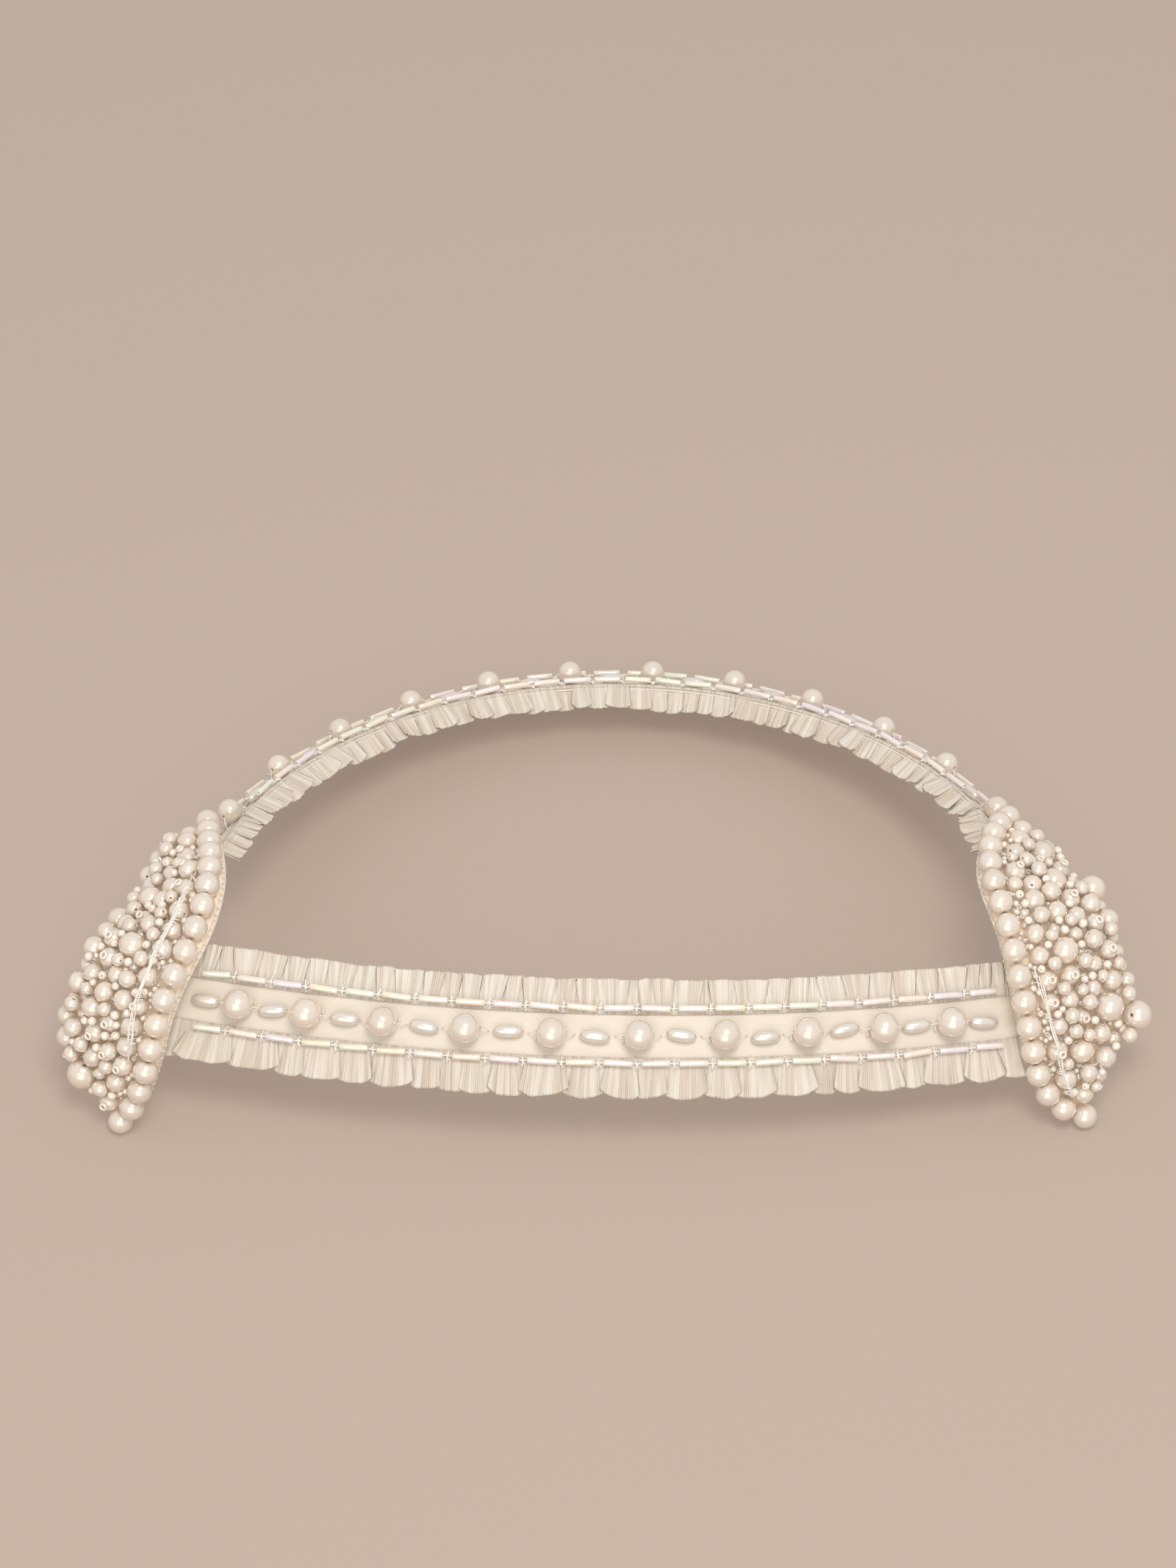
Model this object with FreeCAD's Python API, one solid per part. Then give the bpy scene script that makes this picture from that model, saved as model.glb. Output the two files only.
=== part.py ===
import FreeCAD, Part
import math
import os
import random

# A closed, hand-beaded headband. A front strap and a back strap, each a satin ribbon
# with two pleated ruffles, two rows of bugle beads and a row of pearls, are joined at
# the sides by two arched, leaf-shaped panels covered in pearls.
# Millimetres. X runs to the right, Y from the front strap to the back strap, Z up.
# The points below are set out about the front strap's middle, and the finished model
# is then moved so that its origin is the bottom centre of its bounding box.

V = FreeCAD.Vector
PARTS = "parts"

# ---- the two straps: where the ribbon's centre line starts, peaks and ends ----
FRONT_LINE = (V(-99, 12.5, 27.5), V(0, 0, 28), V(96.3, 11, 22.3))
BACK_LINE = (V(-91.3, 69.3, 23), V(2, 133.0, 10.8), V(94.8, 71.8, 23))
FRONT_LEAN = (38, 38)          # degrees the face leans back, at the middle and the ends
BACK_LEAN = (64, 42)
FRONT_GAP = 3.4                # the front ribbon is sewn off just short of each panel
FRONT_RUFFLE_GAP = 4.4
BACK_GAP = 5.0                 # bare seam between the side ribbon and the back ribbon
BACK_RUFFLE_GAP = 9.0          # the ruffles stop a little earlier

# ---- strap layers, as heights above the face ribbon's top ----
RIBBON_WIDTH = 15.5
RIBBON_THICK = 0.4
CORE_WIDTH = 12.4
CORE_THICK = 0.7
LAYER_GAP = 0.06
WIRE_RADIUS = 0.32
WIRE_OFFSET = 6.9
WIRE_INSET = 1.0               # the wires stop inside the ribbons' ends
WIRE_RUN = 16.0
WIRE_CORNERS = 8
LAYER_RUN = 18.0               # longest run between a strap layer's sections
BEND_SHARE = 0.13              # and at most this share of the strap's radius
LINING_TOP = -(RIBBON_THICK + CORE_THICK + 2 * LAYER_GAP)

# ---- ruffles ----
RUFFLE_THICK = 1.0
RUFFLE_INNER = 5.3             # sewn edge, hidden under the bugle row
RUFFLE_OUTER = (13.1, 14.0)     # upper and lower free edges, from the centre line
FRONT_DROOP = (6, 6)           # degrees the upper and lower ruffle fall from the ribbon
BACK_DROOP = (58, 25)
STEEP_DROOP = 30               # past this the ruffle clears the ribbon's edge as it falls

# ---- beads sewn on the straps ----
BUGLE_LINE = 6.3
BUGLE_LENGTH = 6.6
STITCH_RADIUS = 0.22
STITCH_LENGTH = 2.6
FRONT_BUGLE = {"radius": 0.75, "pitch": 8.5}
BACK_BUGLE = {"radius": 0.7, "pitch": 8.1}
FRONT_PEARL_RADIUS = 3.5
FRONT_PEARL_COUNT = 10
FRONT_PEARL_SPAN = 165.0       # first pearl to last, along the strap
FRONT_PEARL_SHIFT = -2.4       # the row was sewn a little off the strap's middle
BACK_PEARL_RADIUS = 3.0
BACK_PEARL_COUNT = 12
BACK_PEARL_SPAN = 232.0
BACK_PEARL_SHIFT = 0.0
FRONT_CLOSING = 0.18           # how much the pearl spacing closes up towards the ends
BACK_CLOSING = 0.0
FRONT_RICE = (3.5, 1.5)        # half length and half width
BACK_RICE = (3.0, 1.3)
RICE_TILT = 9
RICE_STRAY = 0.5               # how far a rice pearl strays from the centre line
SEED_RADIUS = 0.75
SEED_REACH = 0.82              # along the strap, as a share of the round pearl's radius
SEED_STRAY = 0.9

# ---- side panels: the line that the inner border pearls are strung along ----
LEFT_EDGE = (V(-95, 60, 36), V(-93, 46, 42), V(-92.2, 32, 45), V(-95.2, 17, 42.5),
             V(-101, 5, 35), V(-104.5, -2, 25), V(-108, -5, 13), V(-113, -5, 3.2))
RIGHT_EDGE = (V(96.5, 61, 36.5), V(91.3, 49, 42), V(90, 36, 44), V(92.8, 22.5, 41.5),
              V(95.5, 11, 34), V(98, 3, 25), V(101, -2, 14), V(112, -3.5, 3.2))
LEFT_FACING = (V(-0.40, 0.34, 0.85), V(-0.52, -0.55, 0.65), V(-0.45, -0.85, 0.25))
RIGHT_FACING = (V(0.34, 0.34, 0.87), V(0.32, -0.60, 0.72), V(0.30, -0.90, 0.25))
PANEL_WIDTHS = {"left": ((0.0, 6.0), (0.08, 14.0), (0.2, 22.0), (0.35, 24.0), (0.5, 24.0),
                         (0.65, 24.0), (0.78, 24.5), (0.88, 22.0), (0.95, 17.0), (1.0, 8.0)),
                "right": ((0.0, 7.0), (0.08, 18.0), (0.2, 25.0), (0.35, 26.0), (0.5, 26.0),
                          (0.65, 27.0), (0.78, 27.0), (0.88, 24.0), (0.95, 18.0), (1.0, 8.0))}
PANEL_CROWN = 1.4
CROWN_WIDTH = 22.0             # panels narrower than this bulge less

# ---- panel layers, as heights above the border pearls' centre line ----
BORDER_RADIUS = 3.0
BORDER_COUNT = 17
BASE_TOP = -(BORDER_RADIUS + 0.1)
BASE_THICK = 1.6
FELT_THICK = 1.0
FELT_GAP = 0.16
SIDE_RIBBON_TOP = -7.3
SIDE_RIBBON_SPAN = (0.03, 0.36)
SIDE_RIBBON_MIDDLE = 6.5
SIDE_RIBBON_WIDTH = 12.0
SIDE_RIBBON_STEP = 0.11
PANEL_MARGIN = 0.6
PANEL_STEP = 0.04
CROWN_EDGES = (0.3, 0.7)       # the padding is full between these shares of the width
CROWN_FLAT = 0.8               # and this much of the full crown

# ---- beads on the panels ----
EDGE_RADII = {"left": (2.0, 2.6, 2.6, 1.4, 2.0, 1.5, 2.9, 2.2, 2.6, 1.7, 2.5, 1.6, 2.4, 2.6,
                      1.6, 3.6, 1.6, 1.8),
              "right": (2.2, 1.8, 1.4, 1.9, 3.3, 1.6, 2.6, 1.6, 1.7, 1.5, 2.0, 1.4, 3.5, 1.3,
                        1.7, 2.6, 2.0, 1.7)}
# big pearls: place along the panel, place across it and radius
BIG_PEARLS = {"left": ((0.27, 0.70, 3.0), (0.37, 0.75, 2.9), (0.53, 0.55, 3.2),
                       (0.66, 0.40, 2.7), (0.71, 0.72, 2.7), (0.86, 0.60, 2.6)),
              "right": ((0.12, 0.60, 3.0), (0.27, 0.62, 3.1), (0.38, 0.32, 2.6),
                        (0.52, 0.46, 3.2), (0.69, 0.74, 3.5), (0.79, 0.42, 3.0))}
# smaller beads: largest and smallest radius, how many, and how high they may pile
FIELD_BEADS = (("medium_pearls", (2.6, 2.0), 50, 2.4), ("small_pearls", (1.9, 1.3), 70, 3.2),
               ("clear_beads", (1.1, 0.95), 16, 3.4), ("seed_beads", (1.1, 0.85), 110, 3.6))
EDGE_START = 0.04              # shares of the panel's length between which the edge
EDGE_STOP = 0.99               # pearls are threaded
EDGE_STEP = 0.002
LIFT_STEP = 0.1
PILE_STEP = 0.35
STOP_RING = (0.72, 0.34)
STOP_EVERY = 3                 # one medium pearl in this many is held by a stop ring
BEAD_GAP = 0.06
DARTS = 110                    # places tried for each smaller bead
NEIGHBOURHOOD = 9.0
FIELD_SPAN = (0.02, 0.98)
FIELD_START = 4.7              # the field begins this far from the border pearls' line
FIELD_END = 0.8                # and ends this far inside the outer edge
GROOVE_LINE = 3.3              # the couched thread lies between border and field
GROOVE_HEIGHT = 1.4            # above the base
GROOVE_SPAN = (0.1, 0.9)
GROOVE_STRANDS = 3
STRAND_PITCH = 0.55
STRAND_RADIUS = 0.2
STRAND_RUN = 4.0
STRAND_SAG = 0.1               # how far a straight run strays from the curved groove
TIP_HEIGHT = 3.0               # pearls that start lower than this are tip pearls
HINGE_SPAN = (0.1, 0.6)        # a panel turns about this stretch of its inner edge
HINGE_DEPTH = -6.4


def unit(vector):
    return vector / vector.Length


def blend(first, second, share):
    return first * (1 - share) + second * share


class Strap:
    """A ribbon bent round an arc whose face leans back from the arc's plane."""

    def __init__(self, line, lean):
        start, middle, end = line
        circle = Part.Circle(start, middle, end)
        self.centre = circle.Center
        self.radius = circle.Radius
        self.out = unit(middle - self.centre)
        up = unit((end - middle).cross(start - middle))
        self.up = up if up.z > 0 else up * -1
        along = unit(self.up.cross(self.out))
        self.along = along if along.x > 0 else along * -1
        self.lean = lean
        self.first = self.station(start)
        self.last = self.station(end)

    def station(self, point):
        spoke = point - self.centre
        return self.radius * math.atan2(spoke.dot(self.along), spoke.dot(self.out))

    def frame(self, s):
        """The point on the centre line, and the directions along, across and out."""
        angle = s / self.radius
        spoke = self.out * math.cos(angle) + self.along * math.sin(angle)
        tangent = self.along * math.cos(angle) - self.out * math.sin(angle)
        share = min(1.0, (s / self.last) ** 2)
        lean = math.radians(self.lean[0] + (self.lean[1] - self.lean[0]) * share)
        normal = spoke * math.cos(lean) + self.up * math.sin(lean)
        across = self.up * math.cos(lean) - spoke * math.sin(lean)
        return self.centre + spoke * self.radius, tangent, across, normal

    def point(self, s, w, n):
        origin, tangent, across, normal = self.frame(s)
        return origin + across * w + normal * n


class Panel:
    """A leaf-shaped shell, set out from the line of its inner border pearls."""

    def __init__(self, side, edge, facing):
        self.side = side
        self.curve = Part.BSplineCurve()
        self.curve.interpolate(list(edge))
        self.length = self.curve.length()
        self.facing = facing
        self.widths = PANEL_WIDTHS[side]
        self.outward = -1 if side == "left" else 1

    def width(self, t):
        for (t0, w0), (t1, w1) in zip(self.widths, self.widths[1:]):
            if t <= t1:
                return w0 + (w1 - w0) * (t - t0) / (t1 - t0)
        return self.widths[-1][1]

    def frame(self, t):
        """The point on the border line, and the directions along, outward and up."""
        u = self.curve.parameterAtDistance(self.length * t, self.curve.FirstParameter)
        tangent = unit(self.curve.tangent(u)[0])
        top, middle, tip = self.facing
        facing = blend(top, middle, t * 2) if t < 0.5 else blend(middle, tip, t * 2 - 1)
        normal = unit(facing - tangent * facing.dot(tangent))
        outward = tangent.cross(normal)
        if outward.x * self.outward < 0:
            outward = outward * -1
        return self.curve.value(u), tangent, outward, normal

    def crown(self, t, w):
        """How much the panel bulges here; it is flatter where it is narrow."""
        width = self.width(t)
        share = max(0.0, min(1.0, w / width))
        return PANEL_CROWN * min(1.0, width / CROWN_WIDTH) * 4 * share * (1 - share)

    def point(self, t, w, n):
        origin, tangent, outward, normal = self.frame(t)
        return origin + outward * w + normal * (n + self.crown(t, w))

    def flat_point(self, t, w, n):
        origin, tangent, outward, normal = self.frame(t)
        return origin + outward * w + normal * n


def spread(first, last, step):
    """Evenly spaced values from first to last, about step apart."""
    count = max(2, round((last - first) / step) + 1)
    return [first + (last - first) * i / (count - 1) for i in range(count)]


def loft(sections, ruled=False):
    wires = [Part.makePolygon(list(points) + [points[0]]) for points in sections]
    return Part.makeLoft(wires, True, ruled)


def save(shapes, name, move):
    """Writes one node's solids, moved into the part's own frame."""
    moved = []
    for shape in shapes:
        copy = shape.copy()
        copy.translate(move)
        moved.append(copy)
    body = moved[0] if len(moved) == 1 else Part.makeCompound(moved)
    body.exportStep(os.path.join(PARTS, name + ".step"))


# ---- straps ----
def strap_layer(strap, first, last, outline):
    step = min(LAYER_RUN, strap.radius * BEND_SHARE)
    sections = [[strap.point(s, w, n) for w, n in outline] for s in spread(first, last, step)]
    return loft(sections)


def flat_outline(width, top, thick):
    half = width / 2
    return [(-half, top), (half, top), (half, top - thick), (-half, top - thick)]


def ruffle_outline(droop, side):
    """A thin strip that falls from the ribbon's edge; side is 1 above and -1 below."""
    fall = math.radians(droop)
    bend = BUGLE_LINE + 1.0
    reach = RUFFLE_OUTER[0 if side > 0 else 1] - bend
    top = LAYER_GAP + RUFFLE_THICK
    w_end = bend + reach * math.cos(fall)
    n_end = -reach * math.sin(fall)
    w_under = w_end - RUFFLE_THICK * math.sin(fall)
    n_under = n_end + top - RUFFLE_THICK * math.cos(fall)
    knee = RIBBON_WIDTH / 2 + (LAYER_GAP if droop > STEEP_DROOP else 0.0)
    points = [(RUFFLE_INNER, top), (bend, top), (w_end, n_end + top), (w_under, n_under),
              (knee, LAYER_GAP), (RUFFLE_INNER, LAYER_GAP)]
    return [(side * w, n) for w, n in points]


def edge_wire(strap, first, last, w):
    """A round wire in straight runs short enough to follow the ribbon's bend."""
    n = -RIBBON_THICK - LAYER_GAP - CORE_THICK / 2
    sections = []
    for s in spread(first + WIRE_INSET, last - WIRE_INSET, WIRE_RUN):
        ring = []
        for k in range(WIRE_CORNERS):
            turn = 2 * math.pi * k / WIRE_CORNERS
            ring.append(strap.point(s, w + WIRE_RADIUS * math.cos(turn),
                                    n + WIRE_RADIUS * math.sin(turn)))
        sections.append(ring)
    return loft(sections)


def bugle_stations(first, last, pitch):
    """Middles of the bugles that fill the run, spaced as near to the pitch as they can."""
    count = round((last - first) / pitch)
    step = (last - first) / count
    return [first + step * (i + 0.5) for i in range(count)]


def bugle_row(strap, first, last, bugle, side):
    beads = []
    height = LAYER_GAP * 2 + RUFFLE_THICK + bugle["radius"]
    for s in bugle_stations(first, last, bugle["pitch"]):
        origin, tangent, across, normal = strap.frame(s)
        middle = strap.point(s, side * BUGLE_LINE, height)
        start = middle - tangent * (BUGLE_LENGTH / 2)
        beads.append(Part.makeCylinder(bugle["radius"], BUGLE_LENGTH, start, tangent))
    return beads


def bugle_stitches(strap, first, last, bugle):
    """The thread that shows between one bugle and the next, across the row."""
    stitches = []
    height = LAYER_GAP * 2 + RUFFLE_THICK + STITCH_RADIUS
    stations = bugle_stations(first, last, bugle["pitch"])
    for side in (1, -1):
        for before, after in zip(stations, stations[1:]):
            gap = (before + after) / 2
            origin, tangent, across, normal = strap.frame(gap)
            start = strap.point(gap, side * BUGLE_LINE - STITCH_LENGTH / 2, height)
            stitches.append(Part.makeCylinder(STITCH_RADIUS, STITCH_LENGTH, start, across))
    return stitches


def pearl_stations(count, span, shift, closing):
    """Stations of hand-sewn pearls, which close up a little towards the ends."""
    stations = []
    for i in range(count):
        u = 2 * i / (count - 1) - 1
        stations.append(shift + span / 2 * (u + closing / 2 * (u - u ** 3)))
    return stations


def round_pearls(strap, stations, radius):
    return [Part.makeSphere(radius, strap.point(s, 0, radius + LAYER_GAP)) for s in stations]


def rice_stations(stations, first, last):
    """Between the round pearls, and beyond the end ones where the ribbon is long enough."""
    between = [(a + b) / 2 for a, b in zip(stations, stations[1:])]
    lead = (stations[1] - stations[0]) / 2
    places = [stations[0] - lead] + between + [stations[-1] + lead]
    return [s for s in places if first < s < last]


def rice_pearls(strap, places, size, rng):
    half_length, half_width = size
    beads = []
    for s in places:
        origin, tangent, across, normal = strap.frame(s)
        tilt = math.radians(rng.uniform(-RICE_TILT, RICE_TILT))
        axis = tangent * math.cos(tilt) + across * math.sin(tilt)
        bead = Part.makeSphere(1.0)
        stretch = FreeCAD.Matrix()
        stretch.scale(half_width, half_width, half_length)
        bead = bead.transformGeometry(stretch)
        turn = FreeCAD.Rotation(V(0, 0, 1), axis)
        centre = strap.point(s, rng.uniform(-RICE_STRAY, RICE_STRAY), half_width + LAYER_GAP)
        bead.Placement = FreeCAD.Placement(centre, turn)
        beads.append(bead)
    return beads


def seed_beads(strap, stations, pearl_radius, first, last):
    """A seed bead each side of a round pearl, where its thread comes up through the
    ribbon; there is none where the ribbon has ended."""
    reach = pearl_radius * SEED_REACH + SEED_RADIUS
    beads = []
    for s in stations:
        for side in (-1, 1):
            station = s + side * reach
            if first < station < last:
                centre = strap.point(station, SEED_STRAY * side, SEED_RADIUS + LAYER_GAP)
                beads.append(Part.makeSphere(SEED_RADIUS, centre))
    return beads


def make_strap(name, strap, first, last, ruffle_first, ruffle_last, droop, bugle, pearls,
               rice, rng):
    count, span, shift, closing, radius = pearls
    stations = pearl_stations(count, span, shift, closing)
    nodes = {}
    nodes["face_ribbon"] = [strap_layer(strap, first, last,
                                        flat_outline(RIBBON_WIDTH, 0, RIBBON_THICK))]
    nodes["stiffener"] = [strap_layer(strap, first, last,
                                      flat_outline(CORE_WIDTH, -RIBBON_THICK - LAYER_GAP,
                                                   CORE_THICK))]
    nodes["edge_wires"] = [edge_wire(strap, first, last, side * WIRE_OFFSET)
                           for side in (-1, 1)]
    nodes["lining_ribbon"] = [strap_layer(strap, first, last,
                                          flat_outline(RIBBON_WIDTH, LINING_TOP,
                                                       RIBBON_THICK))]
    nodes["upper_ruffle"] = [strap_layer(strap, ruffle_first, ruffle_last,
                                         ruffle_outline(droop[0], 1))]
    nodes["lower_ruffle"] = [strap_layer(strap, ruffle_first, ruffle_last,
                                         ruffle_outline(droop[1], -1))]
    nodes["upper_bugles"] = bugle_row(strap, ruffle_first, ruffle_last, bugle, 1)
    nodes["lower_bugles"] = bugle_row(strap, ruffle_first, ruffle_last, bugle, -1)
    nodes["bugle_stitches"] = bugle_stitches(strap, ruffle_first, ruffle_last, bugle)
    nodes["round_pearls"] = round_pearls(strap, stations, radius)
    places = rice_stations(stations, ruffle_first, ruffle_last)
    nodes["rice_pearls"] = rice_pearls(strap, places, rice, rng)
    nodes["seed_beads"] = seed_beads(strap, stations, radius, first, last)
    return {name + "_" + key: shapes for key, shapes in nodes.items()}


# ---- side panels ----
def panel_layer(panel, top, thick, crowned):
    sections = []
    for t in spread(0.0, 1.0, PANEL_STEP):
        width = panel.width(t)
        inner = -PANEL_MARGIN
        outer = width + PANEL_MARGIN
        rise = panel.crown(t, width / 2) if crowned else 0.0
        crown_points = [(inner, top)] + [(width * share, top + rise * CROWN_FLAT)
                                         for share in CROWN_EDGES] + [(outer, top)]
        bottom_points = [(outer, top - thick), (inner, top - thick)]
        sections.append([panel.flat_point(t, w, n) for w, n in crown_points + bottom_points])
    return loft(sections, ruled=True)


def border_pearls(panel):
    pearls = []
    for i in range(BORDER_COUNT):
        centre = panel.flat_point(i / (BORDER_COUNT - 1), 0, 0)
        pearls.append((centre, BORDER_RADIUS - BEAD_GAP))
    return pearls


def nearest_gaps(centre, radius, taken):
    """The three smallest gaps that a bead here would leave to the beads around it."""
    return sorted(centre.distanceToPoint(p) - r - radius for p, r in taken)[:3]


def is_free(centre, radius, taken):
    return not taken or nearest_gaps(centre, radius, taken)[0] > BEAD_GAP


def seated(centre, radius, normal, base):
    """The lowest place along the normal where a bead clears the padded base."""
    while base.distToShape(Part.Vertex(centre))[0] < radius + LAYER_GAP / 2:
        centre = centre + normal * LIFT_STEP
    return centre


def edge_pearls(panel, base, taken):
    """Pearls of mixed sizes, one after another along the panel's outer edge."""
    pearls = []
    radii = EDGE_RADII[panel.side]
    t = EDGE_START
    while t < EDGE_STOP and len(pearls) < len(radii):
        radius = radii[len(pearls)]
        place = panel.flat_point(t, panel.width(t), BASE_TOP + radius + LAYER_GAP)
        if is_free(place, radius, taken + pearls):
            centre = seated(place, radius, panel.frame(t)[3], base)
            if is_free(centre, radius, taken + pearls):
                pearls.append((centre, radius))
        t += EDGE_STEP
    return pearls


def big_pearls(panel, base, taken):
    pearls = []
    for t, share, radius in BIG_PEARLS[panel.side]:
        place = panel.point(t, panel.width(t) * share, BASE_TOP + radius + LAYER_GAP)
        centre = seated(place, radius, panel.frame(t)[3], base)
        if is_free(centre, radius, taken + pearls):
            pearls.append((centre, radius))
    return pearls


def nearby(place, taken):
    return [bead for bead in taken if place.distanceToPoint(bead[0]) < NEIGHBOURHOOD]


def field_beads(panel, base, taken, sizes, wanted, pile, rng):
    """Beads that each take the tightest of several places tried at random, as low in the
    pile as there is room."""
    placed = []
    biggest, smallest = sizes
    for i in range(wanted):
        radius = biggest - (biggest - smallest) * i / wanted
        best = None
        for dart in range(DARTS):
            t = rng.uniform(*FIELD_SPAN)
            w = rng.uniform(FIELD_START, max(FIELD_START, panel.width(t) - FIELD_END))
            place = panel.point(t, w, BASE_TOP + radius + LAYER_GAP)
            normal = panel.frame(t)[3]
            around = nearby(place, taken)
            for level in range(int(pile / PILE_STEP) + 1):
                centre = place + normal * (PILE_STEP * level)
                gaps = nearest_gaps(centre, radius, around)
                if not gaps or gaps[0] > BEAD_GAP:
                    looseness = sum(gaps) + PILE_STEP * level
                    if best is None or looseness < best[0]:
                        best = (looseness, centre, normal)
                    break
        if best is not None:
            centre = seated(best[1], radius, best[2], base)
            if is_free(centre, radius, nearby(centre, taken)):
                placed.append((centre, radius))
                taken.append((centre, radius))
    return placed


def stop_rings(panel, pearls, taken):
    """A tiny ring bead on top of a pearl, where its thread turns back."""
    major, minor = STOP_RING
    rings = []
    for centre, radius in pearls:
        normal = panel_normal(panel, centre)
        place = centre + normal * (radius + minor)
        others = [bead for bead in taken if (bead[0] - centre).Length > 0.01]
        if is_free(place, major + minor, others):
            taken.append((place, major + minor))
            rings.append(Part.makeTorus(major, minor, place, normal))
    return rings


def panel_normal(panel, point):
    share = panel.curve.parameter(point)
    first = panel.curve.FirstParameter
    t = (share - first) / (panel.curve.LastParameter - first)
    return panel.frame(min(1.0, max(0.0, t)))[3]


def groove_stations(panel, run):
    return spread(GROOVE_SPAN[0], GROOVE_SPAN[1], run / panel.length)


def groove_room(panel):
    """The room the couched strands need, as a string of small balls."""
    radius = STRAND_PITCH * (GROOVE_STRANDS - 1) / 2 + STRAND_RADIUS + STRAND_SAG
    return [(panel.flat_point(t, GROOVE_LINE, BASE_TOP + GROOVE_HEIGHT), radius)
            for t in groove_stations(panel, radius)]


def groove_thread(panel):
    """Loose strands couched down in the groove beside the border pearls."""
    runs = []
    for strand in range(GROOVE_STRANDS):
        w = GROOVE_LINE + (strand - (GROOVE_STRANDS - 1) / 2) * STRAND_PITCH
        ends = [panel.flat_point(t, w, BASE_TOP + GROOVE_HEIGHT)
                for t in groove_stations(panel, STRAND_RUN)]
        for start, end in zip(ends, ends[1:]):
            reach = end - start
            runs.append(Part.makeCylinder(STRAND_RADIUS, reach.Length - BEAD_GAP, start,
                                          reach))
    return runs


def spheres(beads):
    return [Part.makeSphere(radius, centre) for centre, radius in beads]


def near_table(bead):
    centre, radius = bead
    return centre.z - radius < TIP_HEIGHT


def make_panel(panel, rng):
    base = panel_layer(panel, BASE_TOP, BASE_THICK, True)
    border = border_pearls(panel)
    edge = edge_pearls(panel, base, border)
    big = big_pearls(panel, base, border + edge)
    threads = groove_room(panel)
    taken = border + edge + big + threads
    fields = {"big_pearls": big}
    for name, sizes, wanted, pile in FIELD_BEADS:
        fields[name] = field_beads(panel, base, taken, sizes, wanted, pile, rng)
    nodes = {}
    nodes["felt_backing"] = [panel_layer(panel, BASE_TOP - BASE_THICK - FELT_GAP, FELT_THICK,
                                         False)]
    nodes["padded_base"] = [base]
    tips = [bead for bead in taken if near_table(bead) and bead not in threads]
    nodes["tip_pearls"] = spheres(tips)
    nodes["border_pearls"] = spheres([bead for bead in border if bead not in tips])
    nodes["edge_pearls"] = spheres([bead for bead in edge if bead not in tips])
    for name, beads in fields.items():
        nodes[name] = spheres([bead for bead in beads if bead not in tips])
    nodes["stop_beads"] = stop_rings(panel, fields["medium_pearls"][::STOP_EVERY], taken)
    nodes["groove_thread"] = groove_thread(panel)
    return {panel.side + "_" + key: shapes for key, shapes in nodes.items()}


def side_ribbon(panel, strap, end):
    """The ribbon that carries on from the back strap under the panel's inner edge."""
    first, last = SIDE_RIBBON_SPAN
    half = SIDE_RIBBON_WIDTH / 2
    start = [strap.point(end, w, n) for w, n in flat_outline(SIDE_RIBBON_WIDTH, 0,
                                                             RIBBON_THICK)]
    sections = [start]
    for t in spread(first, last, SIDE_RIBBON_STEP):
        bottom = SIDE_RIBBON_TOP - RIBBON_THICK
        corners = [(half, SIDE_RIBBON_TOP), (-half, SIDE_RIBBON_TOP), (-half, bottom),
                   (half, bottom)]
        sections.append([panel.flat_point(t, SIDE_RIBBON_MIDDLE + w, n) for w, n in corners])
    return loft(sections)


def hinge_lines(back, left, right):
    """Two points on the line that each moving body turns about."""
    lines = {"back_strap": (back.point(back.first, 0, 0), back.point(back.last, 0, 0))}
    for panel in (left, right):
        ends = [panel.flat_point(t, -1, HINGE_DEPTH) for t in HINGE_SPAN]
        lines[panel.side + "_panel"] = tuple(ends)
    return lines


def build():
    rng = random.Random(11)
    front = Strap(FRONT_LINE, FRONT_LEAN)
    back = Strap(BACK_LINE, BACK_LEAN)
    left = Panel("left", LEFT_EDGE, LEFT_FACING)
    right = Panel("right", RIGHT_EDGE, RIGHT_FACING)
    nodes = make_strap("front", front, front.first + FRONT_GAP, front.last - FRONT_GAP,
                       front.first + FRONT_RUFFLE_GAP, front.last - FRONT_RUFFLE_GAP,
                       FRONT_DROOP, FRONT_BUGLE,
                       (FRONT_PEARL_COUNT, FRONT_PEARL_SPAN, FRONT_PEARL_SHIFT,
                        FRONT_CLOSING, FRONT_PEARL_RADIUS),
                       FRONT_RICE, rng)
    nodes.update(make_strap("back", back, back.first + BACK_GAP, back.last - BACK_GAP,
                            back.first + BACK_RUFFLE_GAP, back.last - BACK_RUFFLE_GAP,
                            BACK_DROOP, BACK_BUGLE,
                            (BACK_PEARL_COUNT, BACK_PEARL_SPAN, BACK_PEARL_SHIFT,
                             BACK_CLOSING, BACK_PEARL_RADIUS),
                            BACK_RICE, rng))
    nodes["left_side_ribbon"] = [side_ribbon(left, back, back.first)]
    nodes["right_side_ribbon"] = [side_ribbon(right, back, back.last)]
    nodes.update(make_panel(left, rng))
    nodes.update(make_panel(right, rng))
    return nodes, front, back, left, right


def main():
    os.makedirs(PARTS, exist_ok=True)
    nodes, front, back, left, right = build()
    box = FreeCAD.BoundBox()
    for shapes in nodes.values():
        for shape in shapes:
            box.add(shape.BoundBox)
    move = V(-box.Center.x, -box.Center.y, -box.ZMin)
    for name, shapes in nodes.items():
        save(shapes, name, move)
    print("box", box.XLength, box.YLength, box.ZLength, "moved by", move)
    for name, (first, last) in hinge_lines(back, left, right).items():
        print("hinge of", name, "through", first + move, "along", unit(last - first))
    for name, shapes in sorted(nodes.items()):
        low = min(shape.BoundBox.ZMin for shape in shapes) - box.ZMin
        print("%-24s %4d solids, lowest %.2f" % (name, len(shapes), low))


main()
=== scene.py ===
import math
import random

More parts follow.
